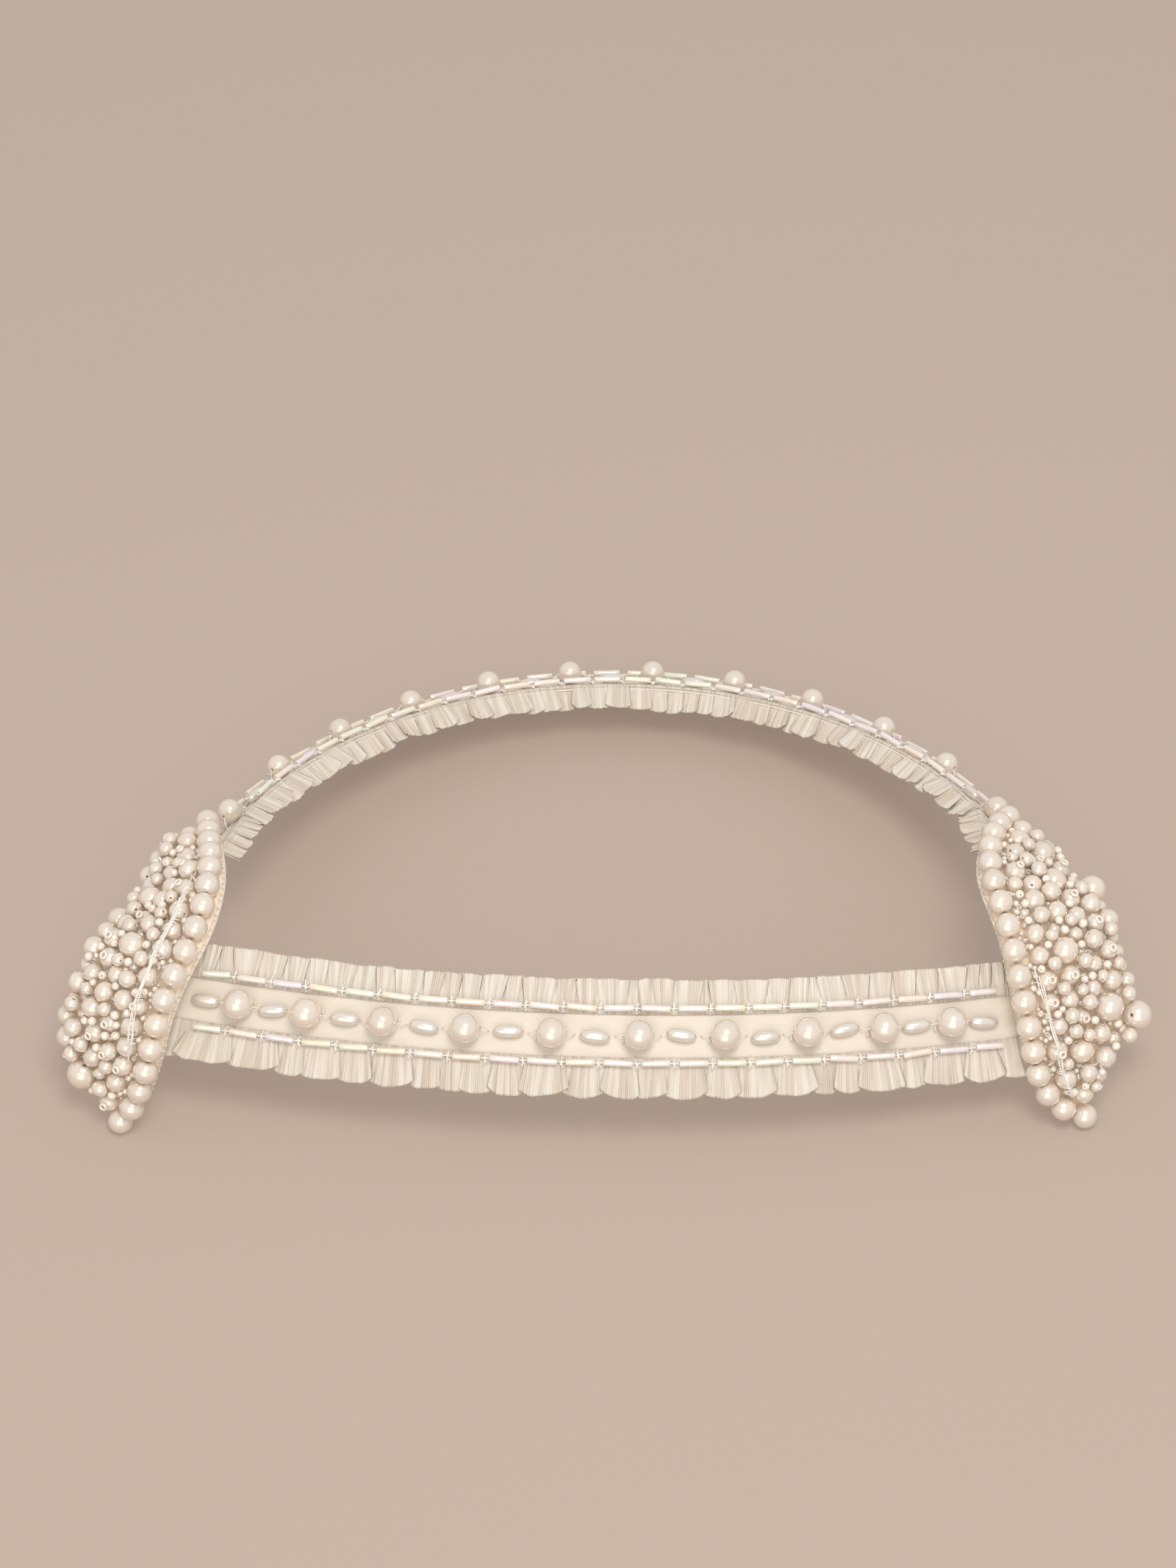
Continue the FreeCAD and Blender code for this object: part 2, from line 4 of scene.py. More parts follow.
import bmesh
import bpy
import numpy as np
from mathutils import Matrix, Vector


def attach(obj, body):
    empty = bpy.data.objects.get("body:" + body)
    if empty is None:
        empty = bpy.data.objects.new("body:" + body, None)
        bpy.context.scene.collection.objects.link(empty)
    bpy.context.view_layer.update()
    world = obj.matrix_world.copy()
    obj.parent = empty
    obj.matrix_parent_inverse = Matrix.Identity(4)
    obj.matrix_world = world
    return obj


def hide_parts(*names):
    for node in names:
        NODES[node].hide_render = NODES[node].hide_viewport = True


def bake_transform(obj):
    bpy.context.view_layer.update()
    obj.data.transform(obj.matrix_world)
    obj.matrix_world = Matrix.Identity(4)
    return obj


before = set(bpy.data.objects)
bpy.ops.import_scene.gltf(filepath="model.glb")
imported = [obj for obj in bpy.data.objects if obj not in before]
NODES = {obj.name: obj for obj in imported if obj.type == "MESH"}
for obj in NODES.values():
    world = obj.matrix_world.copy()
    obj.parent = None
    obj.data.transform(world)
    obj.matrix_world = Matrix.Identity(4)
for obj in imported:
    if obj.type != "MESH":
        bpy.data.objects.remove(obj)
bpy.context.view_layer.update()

# A beaded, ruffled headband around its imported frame. Lengths are in millimetres until a
# mesh is made, and every piece is laid out from the straps' and panels' own lines.

MM = 0.001
ROOT, BACK = "front_strap", "back_strap"
SIDES = ("left", "right")
TAU = 2 * math.pi

# ---- the straps' and panels' dimensions, as the frame has them ----
FRONT_LINE = ((-99, 12.5, 27.5), (0, 0, 28), (96.3, 11, 22.3))
BACK_LINE = ((-91.3, 69.3, 23), (2, 133.0, 10.8), (94.8, 71.8, 23))
FRONT_LEAN = (38, 38)
BACK_LEAN = (64, 42)
RIBBON_WIDTH = 15.5
RIBBON_THICK = 0.4
LINING_TOP = -1.22
CORE_WIDTH, CORE_TOP, CORE_THICK = 12.4, -0.46, 0.6
WIRE_INSET, WIRE_LINE, WIRE_DEPTH, WIRE_RADIUS = 9.0, 6.7, -0.81, 0.3
BUGLE_LINE = 6.3
# how many round pearls, the span they fill, its shift, how they close up, their radius
FRONT_PEARLS = (10, 165.0, -2.4, 0.18, 3.5)
LAYER_GAP = 0.06
# which way a panel faces at its top, middle and tip
FACING = {"left": ((-0.40, 0.34, 0.85), (-0.52, -0.55, 0.65), (-0.45, -0.85, 0.25)),
          "right": ((0.34, 0.34, 0.87), (0.32, -0.60, 0.72), (0.30, -0.90, 0.25))}
# how wide a panel is, by the share of its border line
WIDTHS = {"left": ((0.0, 6.0), (0.08, 14.0), (0.2, 22.0), (0.35, 24.0), (0.5, 24.0),
                   (0.65, 24.0), (0.78, 24.5), (0.88, 22.0), (0.95, 17.0), (1.0, 8.0)),
          "right": ((0.0, 7.0), (0.08, 18.0), (0.2, 25.0), (0.35, 26.0), (0.5, 26.0),
                    (0.65, 27.0), (0.78, 27.0), (0.88, 24.0), (0.95, 18.0), (1.0, 8.0))}
PANEL_CROWN, CROWN_WIDTH = 1.4, 22.0
BASE_TOP = -3.1
BASE_THICK = 1.6
FELT_TOP = BASE_TOP - BASE_THICK - 0.16
FELT_THICK = 1.0
SIDE_RIBBON_TOP = -7.3
SIDE_RIBBON_MIDDLE = 7.4
SIDE_RIBBON_HALF = 5.1
SIDE_RIBBON_SPAN = (0.03, 0.36)


# ---- small geometry helpers ----
def unit(vector):
    vector = np.asarray(vector, float)
    return vector / np.linalg.norm(vector, axis=-1, keepdims=True)


def smooth_noise(x, scale, seed):
    """A smooth random line through x, from -1 to 1, that changes over about scale."""
    x = np.asarray(x, float) / scale
    low = int(np.floor(x.min())) - 1
    rng = np.random.default_rng(seed)
    values = rng.uniform(-1, 1, int(np.ceil(x.max())) - low + 3)
    cell = np.floor(x).astype(int)
    part = x - cell
    part = part * part * (3 - 2 * part)
    return values[cell - low] * (1 - part) + values[cell - low + 1] * part


def basis(axis, spin=0.0):
    """Rows are two directions across the axis and the axis itself."""
    axis = unit(axis)
    helper = np.array((1.0, 0, 0)) if abs(axis[0]) < 0.8 else np.array((0, 1.0, 0))
    first = unit(np.cross(axis, helper))
    second = np.cross(axis, first)
    return np.array((first * math.cos(spin) + second * math.sin(spin),
                     second * math.cos(spin) - first * math.sin(spin), axis))


class Strap:
    """A ribbon bent round an arc whose face leans back from the arc's plane."""

    def __init__(self, line, lean):
        start, middle, end = (np.array(p, float) for p in line)
        a, b = start - end, middle - end
        turn = np.cross(a, b)
        self.centre = end + np.cross(a.dot(a) * b - b.dot(b) * a, turn) / (2 * turn.dot(turn))
        self.radius = np.linalg.norm(middle - self.centre)
        self.out = unit(middle - self.centre)
        up = unit(np.cross(end - middle, start - middle))
        self.up = up if up[2] > 0 else -up
        along = unit(np.cross(self.up, self.out))
        self.along = along if along[0] > 0 else -along
        self.lean = lean
        self.first, self.last = self.station(start), self.station(end)

    def station(self, point):
        spoke = point - self.centre
        return self.radius * math.atan2(spoke.dot(self.along), spoke.dot(self.out))

    def frames(self, s):
        s = np.asarray(s, float)
        angle = (s / self.radius)[..., None]
        spoke = self.out * np.cos(angle) + self.along * np.sin(angle)
        tangent = self.along * np.cos(angle) - self.out * np.sin(angle)
        share = np.minimum(1.0, (s / self.last) ** 2)[..., None]
        lean = np.radians(self.lean[0] + (self.lean[1] - self.lean[0]) * share)
        normal = spoke * np.cos(lean) + self.up * np.sin(lean)
        across = self.up * np.cos(lean) - spoke * np.sin(lean)
        return self.centre + spoke * self.radius, tangent, across, normal

    def points(self, s, w, n):
        origin, tangent, across, normal = self.frames(s)
        return origin + across * np.asarray(w)[..., None] + normal * np.asarray(n)[..., None]


class Panel:
    """A leaf-shaped shell set out from the line of its inner border pearls."""

    def __init__(self, side, knots):
        self.side = side
        self.knots = knots
        self.outward = -1 if side == "left" else 1
        count = len(knots)
        matrix, right = np.eye(count), np.zeros((count, 3))
        for i in range(1, count - 1):
            matrix[i, i - 1:i + 2] = (1, 4, 1)
            right[i] = 6 * (knots[i - 1] - 2 * knots[i] + knots[i + 1])
        self.bends = np.linalg.solve(matrix, right)
        self.length = np.linalg.norm(np.diff(knots, axis=0), axis=1).sum()

    def width(self, t):
        ts, ws = zip(*WIDTHS[self.side])
        return np.interp(t, ts, ws)

    def line(self, t):
        """The point on the border line and the direction along it."""
        x = np.clip(np.asarray(t, float), 0, 1) * (len(self.knots) - 1)
        i = np.minimum(x.astype(int), len(self.knots) - 2)
        f = (x - i)[..., None]
        k0, k1, b0, b1 = self.knots[i], self.knots[i + 1], self.bends[i], self.bends[i + 1]
        point = (k0 * (1 - f) + k1 * f + ((1 - f) ** 3 - (1 - f)) * b0 / 6
                 + (f ** 3 - f) * b1 / 6)
        slope = k1 - k0 - (3 * (1 - f) ** 2 - 1) * b0 / 6 + (3 * f ** 2 - 1) * b1 / 6
        return point, unit(slope)

    def frames(self, t):
        point, tangent = self.line(t)
        top, middle, tip = (np.array(f) for f in FACING[self.side])
        share = np.asarray(t, float)[..., None] * 2
        facing = np.where(share < 1, top * (1 - share) + middle * share,
                          middle * (2 - share) + tip * (share - 1))
        along = (facing * tangent).sum(-1, keepdims=True)
        normal = unit(facing - tangent * along)
        outward = np.cross(tangent, normal)
        flip = np.where(outward[..., :1] * self.outward < 0, -1.0, 1.0)
        return point, tangent, outward * flip, normal

    def nearest(self, centre):
        """How far along the border line the pearl nearest to a point is."""
        return np.linalg.norm(self.knots - centre, axis=1).argmin() / (len(self.knots) - 1)

    def crown(self, t, w):
        width = self.width(t)
        share = np.clip(np.asarray(w) / width, 0, 1)
        return PANEL_CROWN * np.minimum(1, width / CROWN_WIDTH) * 4 * share * (1 - share)

    def points(self, t, w, n, crowned=True):
        point, tangent, outward, normal = self.frames(t)
        n = np.asarray(n, float) + (self.crown(t, w) if crowned else 0.0)
        return point + outward * np.asarray(w)[..., None] + normal * n[..., None]


# ---- reading the frame's beads ----
def solids(node):
    """Each separate solid of a node, as the points of its surface, in millimetres."""
    mesh = NODES[node].data
    co = np.empty(len(mesh.vertices) * 3)
    mesh.vertices.foreach_get("co", co)
    places, index = np.unique(np.round(co.reshape(-1, 3) * 1e6).astype(np.int64), axis=0,
                              return_inverse=True)
    index = index.ravel()
    edges = np.empty(len(mesh.edges) * 2, np.int64)
    mesh.edges.foreach_get("vertices", edges)
    edges = index[edges].reshape(-1, 2)
    label = np.arange(len(places))
    while True:
        low = np.minimum(label[edges[:, 0]], label[edges[:, 1]])
        newer = label.copy()
        np.minimum.at(newer, edges[:, 0], low)
        np.minimum.at(newer, edges[:, 1], low)
        newer = newer[newer]
        if (newer == label).all():
            break
        label = newer
    order = np.argsort(label, kind="stable")
    cuts = np.flatnonzero(np.diff(label[order])) + 1
    return [places[group] * MM for group in np.split(order, cuts)]


def balls(node):
    """The centre and radius of each sphere in a node."""
    found = []
    for points in solids(node):
        system = np.c_[2 * points, np.ones(len(points))]
        answer = np.linalg.lstsq(system, (points ** 2).sum(1), rcond=None)[0]
        centre = answer[:3]
        found.append((centre, math.sqrt(answer[3] + centre.dot(centre))))
    return found


def rods(node, thin=False):
    """The centre and axis of each long solid in a node, or of each flat ring if thin."""
    found = []
    for points in solids(node):
        centre = (points.min(0) + points.max(0)) / 2 if thin else points.mean(0)
        axes = np.linalg.svd(points - centre, full_matrices=False)[2]
        found.append((centre, axes[2] if thin else axes[0]))
    return found


# ---- making meshes ----
class Pile:
    """Collects the vertices and faces of one mesh."""

    def __init__(self):
        self.verts, self.faces, self.cloth, self.count = [], [], [], 0

    def add(self, verts, faces, cloth=None):
        verts = np.asarray(verts, float).reshape(-1, 3)
        self.verts.append(verts)
        self.faces.append(np.asarray(faces) + self.count)
        self.cloth.append(np.zeros((len(verts), 3)) if cloth is None
                          else np.asarray(cloth, float).reshape(-1, 3))
        self.count += len(verts)


def grid_faces(rows, columns, close_rows=False, close_columns=False):
    i, j = np.meshgrid(np.arange(rows if close_rows else rows - 1),
                       np.arange(columns if close_columns else columns - 1), indexing="ij")
    a, b = i * columns + j, i * columns + (j + 1) % columns
    c, d = ((i + 1) % rows) * columns + (j + 1) % columns, ((i + 1) % rows) * columns + j
    return np.stack((a, b, c, d), -1).reshape(-1, 4)


def make_piece(name, pile, body, slot, replaced=(), look=None, ride=True):
    verts = np.concatenate(pile.verts) * MM
    mesh = bpy.data.meshes.new(name)
    mesh.from_pydata(verts.tolist(), [], [f.tolist() for faces in pile.faces for f in faces])
    mesh.polygons.foreach_set("use_smooth", [True] * len(mesh.polygons))
    cloth = mesh.attributes.new("cloth", "FLOAT_VECTOR", "POINT")
    cloth.data.foreach_set("vector", np.concatenate(pile.cloth).astype(np.float32).ravel())
    mesh.materials.append(look or LOOKS[slot])
    mesh.update()
    piece = bpy.data.objects.new(name, mesh)
    bpy.context.scene.collection.objects.link(piece)
    if ride:
        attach(piece, body)
    if replaced:
        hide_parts(*replaced)
    return piece


def outward_faces(piece):
    """Turns a closed piece's faces to point out of it."""
    bpy.context.view_layer.objects.active = piece
    mesh = bmesh.new()
    mesh.from_mesh(piece.data)
    bmesh.ops.recalc_face_normals(mesh, faces=mesh.faces)
    mesh.to_mesh(piece.data)
    mesh.free()


def lathe(profile, around):
    """A closed outline of radius and height, turned round the Z axis."""
    outline = np.array(profile, float)
    turn = np.linspace(0, TAU, around, endpoint=False)[:, None]
    verts = np.stack((outline[:, 0] * np.cos(turn), outline[:, 0] * np.sin(turn),
                      np.broadcast_to(outline[:, 1], (around, len(outline)))), -1)
    return verts.reshape(-1, 3), grid_faces(around, len(outline), True, True)


def pearl_shape(hole, around, steps):
    """A drilled pearl of radius 1, its hole along Z with a rounded rim."""
    start = math.asin(hole * 1.5)
    outline = [(math.sin(a), math.cos(a)) for a in np.linspace(start, math.pi - start, steps)]
    rim = math.cos(start)
    bore = [(hole * 1.15, -rim * 0.985), (hole, -rim * 0.93), (hole, 0.0), (hole, rim * 0.93),
            (hole * 1.15, rim * 0.985)]
    return lathe(outline + bore, around)


def rice_shape(hole, around, steps):
    """A long pearl of radius 1 and half length 1, fuller than an egg, cut flat at its ends."""
    heights = np.linspace(0.97, -0.97, steps)
    outline = [((1 - abs(h) ** 2.5) ** 0.5, h) for h in heights]
    bore = [(hole, -0.97), (hole, 0.0), (hole, 0.97)]
    return lathe(outline + bore, around)


def ring_shape(hole, around, steps):
    """A rounded ring bead of radius 1, its hole along Z."""
    middle, thick = (1 + hole) / 2, (1 - hole) / 2
    turn = np.linspace(0, TAU, steps, endpoint=False)
    return lathe([(middle + thick * math.cos(a), thick * 1.25 * math.sin(a)) for a in turn],
                 around)


def tube_shape(bore, around):
    """A cut glass tube of radius 1 and length 2, with its edges fire-polished."""
    outline = [(bore, -1), (0.9, -1), (1, -0.97), (1, -0.5), (1, 0.5), (1, 0.97), (0.9, 1),
               (bore, 1), (bore, 0)]
    return lathe(outline, around)


def scatter(pile, shape, places, rng, wobble=0.0):
    """Puts a copy of the shape at each place: centre, axis, radius across, radius along."""
    verts, faces = shape
    for centre, axis, across, along in places:
        turn = basis(axis, rng.uniform(0, TAU))
        copy = verts * (across, across, along)
        if wobble:
            lean = unit([rng.gauss(0, 1) for _ in range(3)])
            copy = copy * (1 + wobble * (unit(verts + 1e-9) @ lean)[:, None] ** 2)
        pile.add(copy @ turn + centre, faces)


def strand(pile, points, radius, sides=6):
    """A closed round thread along a line of points."""
    points = np.asarray(points, float)
    ahead = unit(np.gradient(points, axis=0))
    side = basis(ahead[0])[0]
    rings = []
    turn = np.linspace(0, TAU, sides, endpoint=False)[:, None]
    for point, tangent in zip(points, ahead):
        side = unit(side - tangent * side.dot(tangent))
        other = np.cross(tangent, side)
        rings.append(point + radius * (side * np.cos(turn) + other * np.sin(turn)))
    count = len(rings)
    faces = grid_faces(count, sides, False, True)
    start, end = pile.count, pile.count + count * sides
    pile.add(np.concatenate(rings + [points[:1], points[-1:]]), faces)
    caps = []
    for k in range(sides):
        after = (k + 1) % sides
        caps.append((start + after, start + k, end, end))
        last = start + (count - 1) * sides
        caps.append((last + k, last + after, end + 1, end + 1))
    pile.faces.append(np.array(caps)[:, :3])


# ---- materials ----
class Look:
    """A principled material and shorthand for its nodes."""

    def __init__(self, name, color, roughness, **sockets):
        self.material = bpy.data.materials.new(name)
        self.material.use_nodes = True
        self.tree = self.material.node_tree
        self.shader = self.tree.nodes["Principled BSDF"]
        self.shader.inputs["Base Color"].default_value = (*color, 1)
        self.shader.inputs["Roughness"].default_value = roughness
        for key, value in sockets.items():
            self.shader.inputs[key.replace("_", " ")].default_value = value

    def node(self, kind, **settings):
        made = self.tree.nodes.new(kind)
        for key, value in settings.items():
            if key.startswith("in_"):
                made.inputs[key[3:].replace("_", " ")].default_value = value
            else:
                setattr(made, key, value)
        return made

    def link(self, source, target):
        self.tree.links.new(source, target)

    def cloth(self):
        return self.node("ShaderNodeAttribute", attribute_name="cloth").outputs["Vector"]

    def place(self):
        return self.node("ShaderNodeTexCoord").outputs["Object"]

    def scaled(self, vector, scale):
        mapping = self.node("ShaderNodeMapping")
        mapping.inputs["Scale"].default_value = scale
        self.link(vector, mapping.inputs["Vector"])
        return mapping.outputs["Vector"]

    def noise(self, vector, scale, detail=3.0, rough=0.55):
        made = self.node("ShaderNodeTexNoise", in_Scale=scale, in_Detail=detail,
                         in_Roughness=rough)
        self.link(vector, made.inputs["Vector"])
        return made.outputs["Fac"]

    def wave(self, vector, scale, direction="X", distortion=0.0, detail=1.0):
        made = self.node("ShaderNodeTexWave", bands_direction=direction, in_Scale=scale,
                         in_Distortion=distortion, in_Detail=detail)
        self.link(vector, made.inputs["Vector"])
        return made.outputs["Fac"]

    def ramp(self, factor, stops):
        made = self.node("ShaderNodeValToRGB")
        elements = made.color_ramp.elements
        while len(elements) < len(stops):
            elements.new(0.5)
        for element, (place, color) in zip(elements, stops):
            element.position = place
            element.color = (*color, 1)
        self.link(factor, made.inputs["Fac"])
        return made.outputs["Color"]

    def mix(self, factor, first, second, kind="MIX"):
        made = self.node("ShaderNodeMix", data_type="RGBA", blend_type=kind)
        for value, socket in ((factor, 0), (first, 6), (second, 7)):
            if isinstance(value, bpy.types.NodeSocket):
                self.link(value, made.inputs[socket])
            else:
                made.inputs[socket].default_value = value
        return made.outputs[2]

    def math(self, kind, first, second):
        made = self.node("ShaderNodeMath", operation=kind)
        for value, socket in ((first, 0), (second, 1)):
            if isinstance(value, bpy.types.NodeSocket):
                self.link(value, made.inputs[socket])
            else:
                made.inputs[socket].default_value = value
        return made.outputs[0]

    def color(self, socket):
        self.link(socket, self.shader.inputs["Base Color"])

    def bump(self, height, strength, distance):
        made = self.node("ShaderNodeBump", in_Strength=strength, in_Distance=distance)
        self.link(height, made.inputs["Height"])
        if self.shader.inputs["Normal"].is_linked:
            previous = self.shader.inputs["Normal"].links[0].from_socket
            self.link(previous, made.inputs["Normal"])
        self.link(made.outputs["Normal"], self.shader.inputs["Normal"])


def island_random(look):
    return look.node("ShaderNodeNewGeometry").outputs["Random Per Island"]


def satin_look(name, color, gloss=0.42):
    """Woven satin: fine floats along the ribbon, a faint weave across and soft sheen."""
    look = Look(name, color, gloss, Sheen_Weight=0.2, Sheen_Roughness=0.4, Anisotropic=0.5)
    cloth = look.cloth()
    tone = look.noise(look.scaled(cloth, (0.05, 0.3, 1)), 1.0, 4.0)
    dark = tuple(c * 0.93 for c in color)
    look.color(look.ramp(tone, ((0.25, dark), (0.7, color))))
    floats = look.wave(look.scaled(cloth, (0.3, 1, 1)), 1.3, "Y", 1.2, 2.0)
    weave = look.wave(look.scaled(cloth, (1, 1, 1)), 0.9, "X", 0.6, 1.0)
    look.bump(floats, 0.25, 0.00006)
    look.bump(weave, 0.15, 0.00005)
    look.bump(look.noise(look.scaled(cloth, (0.12, 0.2, 1)), 1.0, 3.0), 0.35, 0.0005)
    return look.material


def ruffle_look():
    """Ribbed sheer cloth: fine cords across the strip, in a tone that varies in bands, with
    painted shade that makes the valleys between the cords darker and warmer than the cords.
    """
    look = Look("ruffle_cloth", (0.82, 0.75, 0.66), 0.5, Sheen_Weight=0.15,
                Sheen_Roughness=0.5)
    cloth = look.cloth()
    cords = look.wave(look.scaled(cloth, (1, 0.04, 1)), 0.55, "X", 1.4, 2.0)
    bands = look.noise(look.scaled(cloth, (0.55, 0.03, 1)), 1.0, 3.0, 0.6)
    low = look.ramp(bands, ((0.36, (0.58, 0.47, 0.36)), (0.6, (0.80, 0.73, 0.64))))
    # painted shade: the valleys between the cords keep the darker band tone, and the cords are
    # lifted towards pale cream
    look.color(look.mix(look.math("MULTIPLY", cords, 0.4), low, (0.88, 0.83, 0.76, 1)))
    look.bump(cords, 0.5, 0.00022)
    weave = look.wave(look.scaled(cloth, (0.2, 1, 1)), 1.4, "Y", 0.5, 1.0)
    look.bump(weave, 0.12, 0.00006)
    return look.material


def pearl_look(name, tones, roughness=0.2, metal=0.34, grain=0.12):
    """Nacre: a soft deep glow under a clear coat, each bead a little different."""
    look = Look(name, tones[0], roughness, Metallic=metal, Coat_Weight=0.9,
                Coat_Roughness=0.1, Coat_IOR=1.6, IOR=1.6)
    stops = [(i / (len(tones) - 1), tone) for i, tone in enumerate(tones)]
    tint = look.ramp(island_random(look), stops)
    cloud = look.noise(look.place(), 420.0, 3.0)
    paler = look.mix(look.math("MULTIPLY", cloud, grain), tint, (1.0, 0.97, 0.94, 1))
    look.color(paler)
    look.bump(look.noise(look.place(), 900.0, 2.0), 0.05, 0.0002)
    return look.material


def bugle_look():
    """Pale glass tubes with a rainbow coating, each a different pastel."""
    look = Look("iridescent_glass", (0.9, 0.85, 0.85), 0.16, IOR=1.55, Coat_Weight=1.0,
                Coat_Roughness=0.05, Metallic=0.3)
    tones = ((0.98, 0.80, 0.76), (0.88, 0.80, 0.90), (0.99, 0.84, 0.68), (0.97, 0.92, 0.70),
             (0.88, 0.92, 0.76), (0.98, 0.85, 0.82), (0.98, 0.91, 0.82), (0.87, 0.83, 0.93))
    stops = [(i / (len(tones) - 1), tone) for i, tone in enumerate(tones)]
    tint = look.ramp(island_random(look), stops)
    drift = look.noise(look.place(), 260.0, 2.0)
    look.color(look.mix(look.math("MULTIPLY", drift, 0.4), tint, (1.0, 0.96, 0.90, 1)))
    look.bump(look.noise(look.place(), 1500.0, 2.0), 0.06, 0.0002)
    return look.material


def clear_look():
    look = Look("clear_glass", (0.97, 0.95, 0.92), 0.08, IOR=1.45, Transmission_Weight=0.4,
                Coat_Weight=0.6, Coat_Roughness=0.04)
    tint = look.ramp(island_random(look), ((0, (0.98, 0.90, 0.78)), (1, (0.97, 0.95, 0.90))))
    look.color(tint)
    look.bump(look.noise(look.place(), 1300.0, 2.0), 0.08, 0.0002)
    return look.material


def thread_look():
    """Twisted sewing thread."""
    look = Look("thread", (0.93, 0.90, 0.84), 0.55, Sheen_Weight=0.4, Sheen_Roughness=0.4)
    twist = look.noise(look.scaled(look.place(), (2600, 900, 2600)), 1.0, 2.0)
    look.color(look.ramp(twist, ((0.3, (0.80, 0.74, 0.65)), (0.6, (0.96, 0.94, 0.90)))))
    look.bump(twist, 0.5, 0.0001)
    return look.material


def felt_look():
    look = Look("felt", (0.90, 0.84, 0.74), 0.85, Sheen_Weight=0.6, Sheen_Roughness=0.6)
    fibres = look.noise(look.scaled(look.place(), (1, 1, 3)), 1600.0, 6.0, 0.7)
    look.color(look.ramp(fibres, ((0.3, (0.80, 0.72, 0.60)), (0.7, (0.94, 0.89, 0.80)))))
    look.bump(fibres, 0.6, 0.0003)
    return look.material


def cover_look():
    """The panels' padded cloth. Its warm tone is partly the cloth's own colour and partly painted
    bounce light from the pearls, and a faint warm emission paints a glow where it shows between
    pearls.
    """
    # painted light: the emission is a faint warm glow in place of light bounced between the pearls
    look = Look("panel_cloth", (0.88, 0.76, 0.60), 0.5, Sheen_Weight=0.3,
                Emission_Color=(1.0, 0.76, 0.55, 1), Emission_Strength=0.16)
    tone = look.noise(look.place(), 260.0, 4.0)
    look.color(look.ramp(tone, ((0.3, (0.84, 0.68, 0.50)), (0.7, (0.93, 0.84, 0.71)))))
    look.bump(look.noise(look.place(), 2400.0, 3.0), 0.3, 0.0002)
    return look.material


def core_look():
    """Woven interfacing between the ribbons."""
    look = Look("interfacing", (0.88, 0.85, 0.80), 0.8)
    cloth = look.cloth()
    both = look.math("MULTIPLY", look.wave(cloth, 1.2, "X"), look.wave(cloth, 1.2, "Y"))
    look.color(look.ramp(both, ((0.1, (0.78, 0.75, 0.70)), (0.7, (0.92, 0.90, 0.86)))))
    look.bump(both, 0.4, 0.0001)
    return look.material


def wire_look():
    look = Look("wire", (0.66, 0.65, 0.62), 0.32, Metallic=1.0)
    marks = look.noise(look.scaled(look.place(), (400, 4000, 4000)), 1.0, 2.0)
    look.color(look.ramp(marks, ((0.3, (0.56, 0.55, 0.52)), (0.7, (0.72, 0.71, 0.68)))))
    look.bump(marks, 0.2, 0.00005)
    return look.material


def floor_look():
    """Pale warm paper with a faint tooth."""
    look = Look("paper_floor", (0.35, 0.284, 0.24), 0.9, Emission_Strength=0.165,
                Emission_Color=(1.0, 0.81, 0.684, 1))
    tooth = look.noise(look.place(), 900.0, 5.0, 0.6)
    look.color(look.ramp(tooth, ((0.2, (0.341, 0.275, 0.232)), (0.8, (0.359, 0.292, 0.246)))))
    look.bump(tooth, 0.1, 0.0002)
    return look.material


SIDE_SATIN = satin_look("ribbed_ribbon", (0.84, 0.76, 0.66), 0.5)
SEED = pearl_look("seed_bead", ((0.92, 0.81, 0.68), (0.95, 0.88, 0.78), (0.92, 0.84, 0.74)),
                  0.18, 0.15, 0.1)
LOOKS = {
    "satin_ribbon": satin_look("satin", (0.82, 0.74, 0.64)),
    "pleated_ruffle": ruffle_look(),
    "pearl": pearl_look("pearl", ((0.82, 0.72, 0.61), (0.87, 0.77, 0.67), (0.83, 0.74, 0.66),
                                  (0.88, 0.77, 0.65), (0.84, 0.74, 0.64))),
    "rice_pearl": pearl_look("rice_pearl", ((0.84, 0.77, 0.68), (0.88, 0.81, 0.73),
                                            (0.85, 0.80, 0.76)), 0.2, 0.55, 0.2),
    "seed_bead": SEED,
    "stop_ring": SEED,
    "iridescent_bugle": bugle_look(),
    "clear_seed": clear_look(),
    "thread": thread_look(),
    "felt": felt_look(),
    "padding_cover": cover_look(),
    "stiffener": core_look(),
    "wire": wire_look()}


# ---- where everything is ----
front = Strap(FRONT_LINE, FRONT_LEAN)
back = Strap(BACK_LINE, BACK_LEAN)


def place_in_frame():
    """Moves the straps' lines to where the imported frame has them."""
    count, span, shift, closing, radius = FRONT_PEARLS
    pearls = sorted(balls("front_round_pearls"), key=lambda ball: ball[0][0])
    u = 2 * np.arange(count) / (count - 1) - 1
    stations = shift + span / 2 * (u + closing / 2 * (u - u ** 3))
    wanted = front.points(stations, np.zeros(count), np.full(count, radius + LAYER_GAP))
    move = (np.array([centre for centre, _ in pearls]) - wanted).mean(0)
    for strap in (front, back):
        strap.centre = strap.centre + move
    return move


MOVE = place_in_frame()


def border_line(side):
    """The centres of a panel's border pearls, from the top to the tip."""
    rest = [centre for centre, _ in balls(side + "_border_pearls")]
    chain = [min((ball[0] for ball in balls(side + "_tip_pearls")), key=lambda c: c[2])]
    while rest:
        nearest = min(range(len(rest)), key=lambda i: np.linalg.norm(rest[i] - chain[-1]))
        chain.append(rest.pop(nearest))
    return np.array(chain[::-1])


panels = {side: Panel(side, border_line(side)) for side in SIDES}


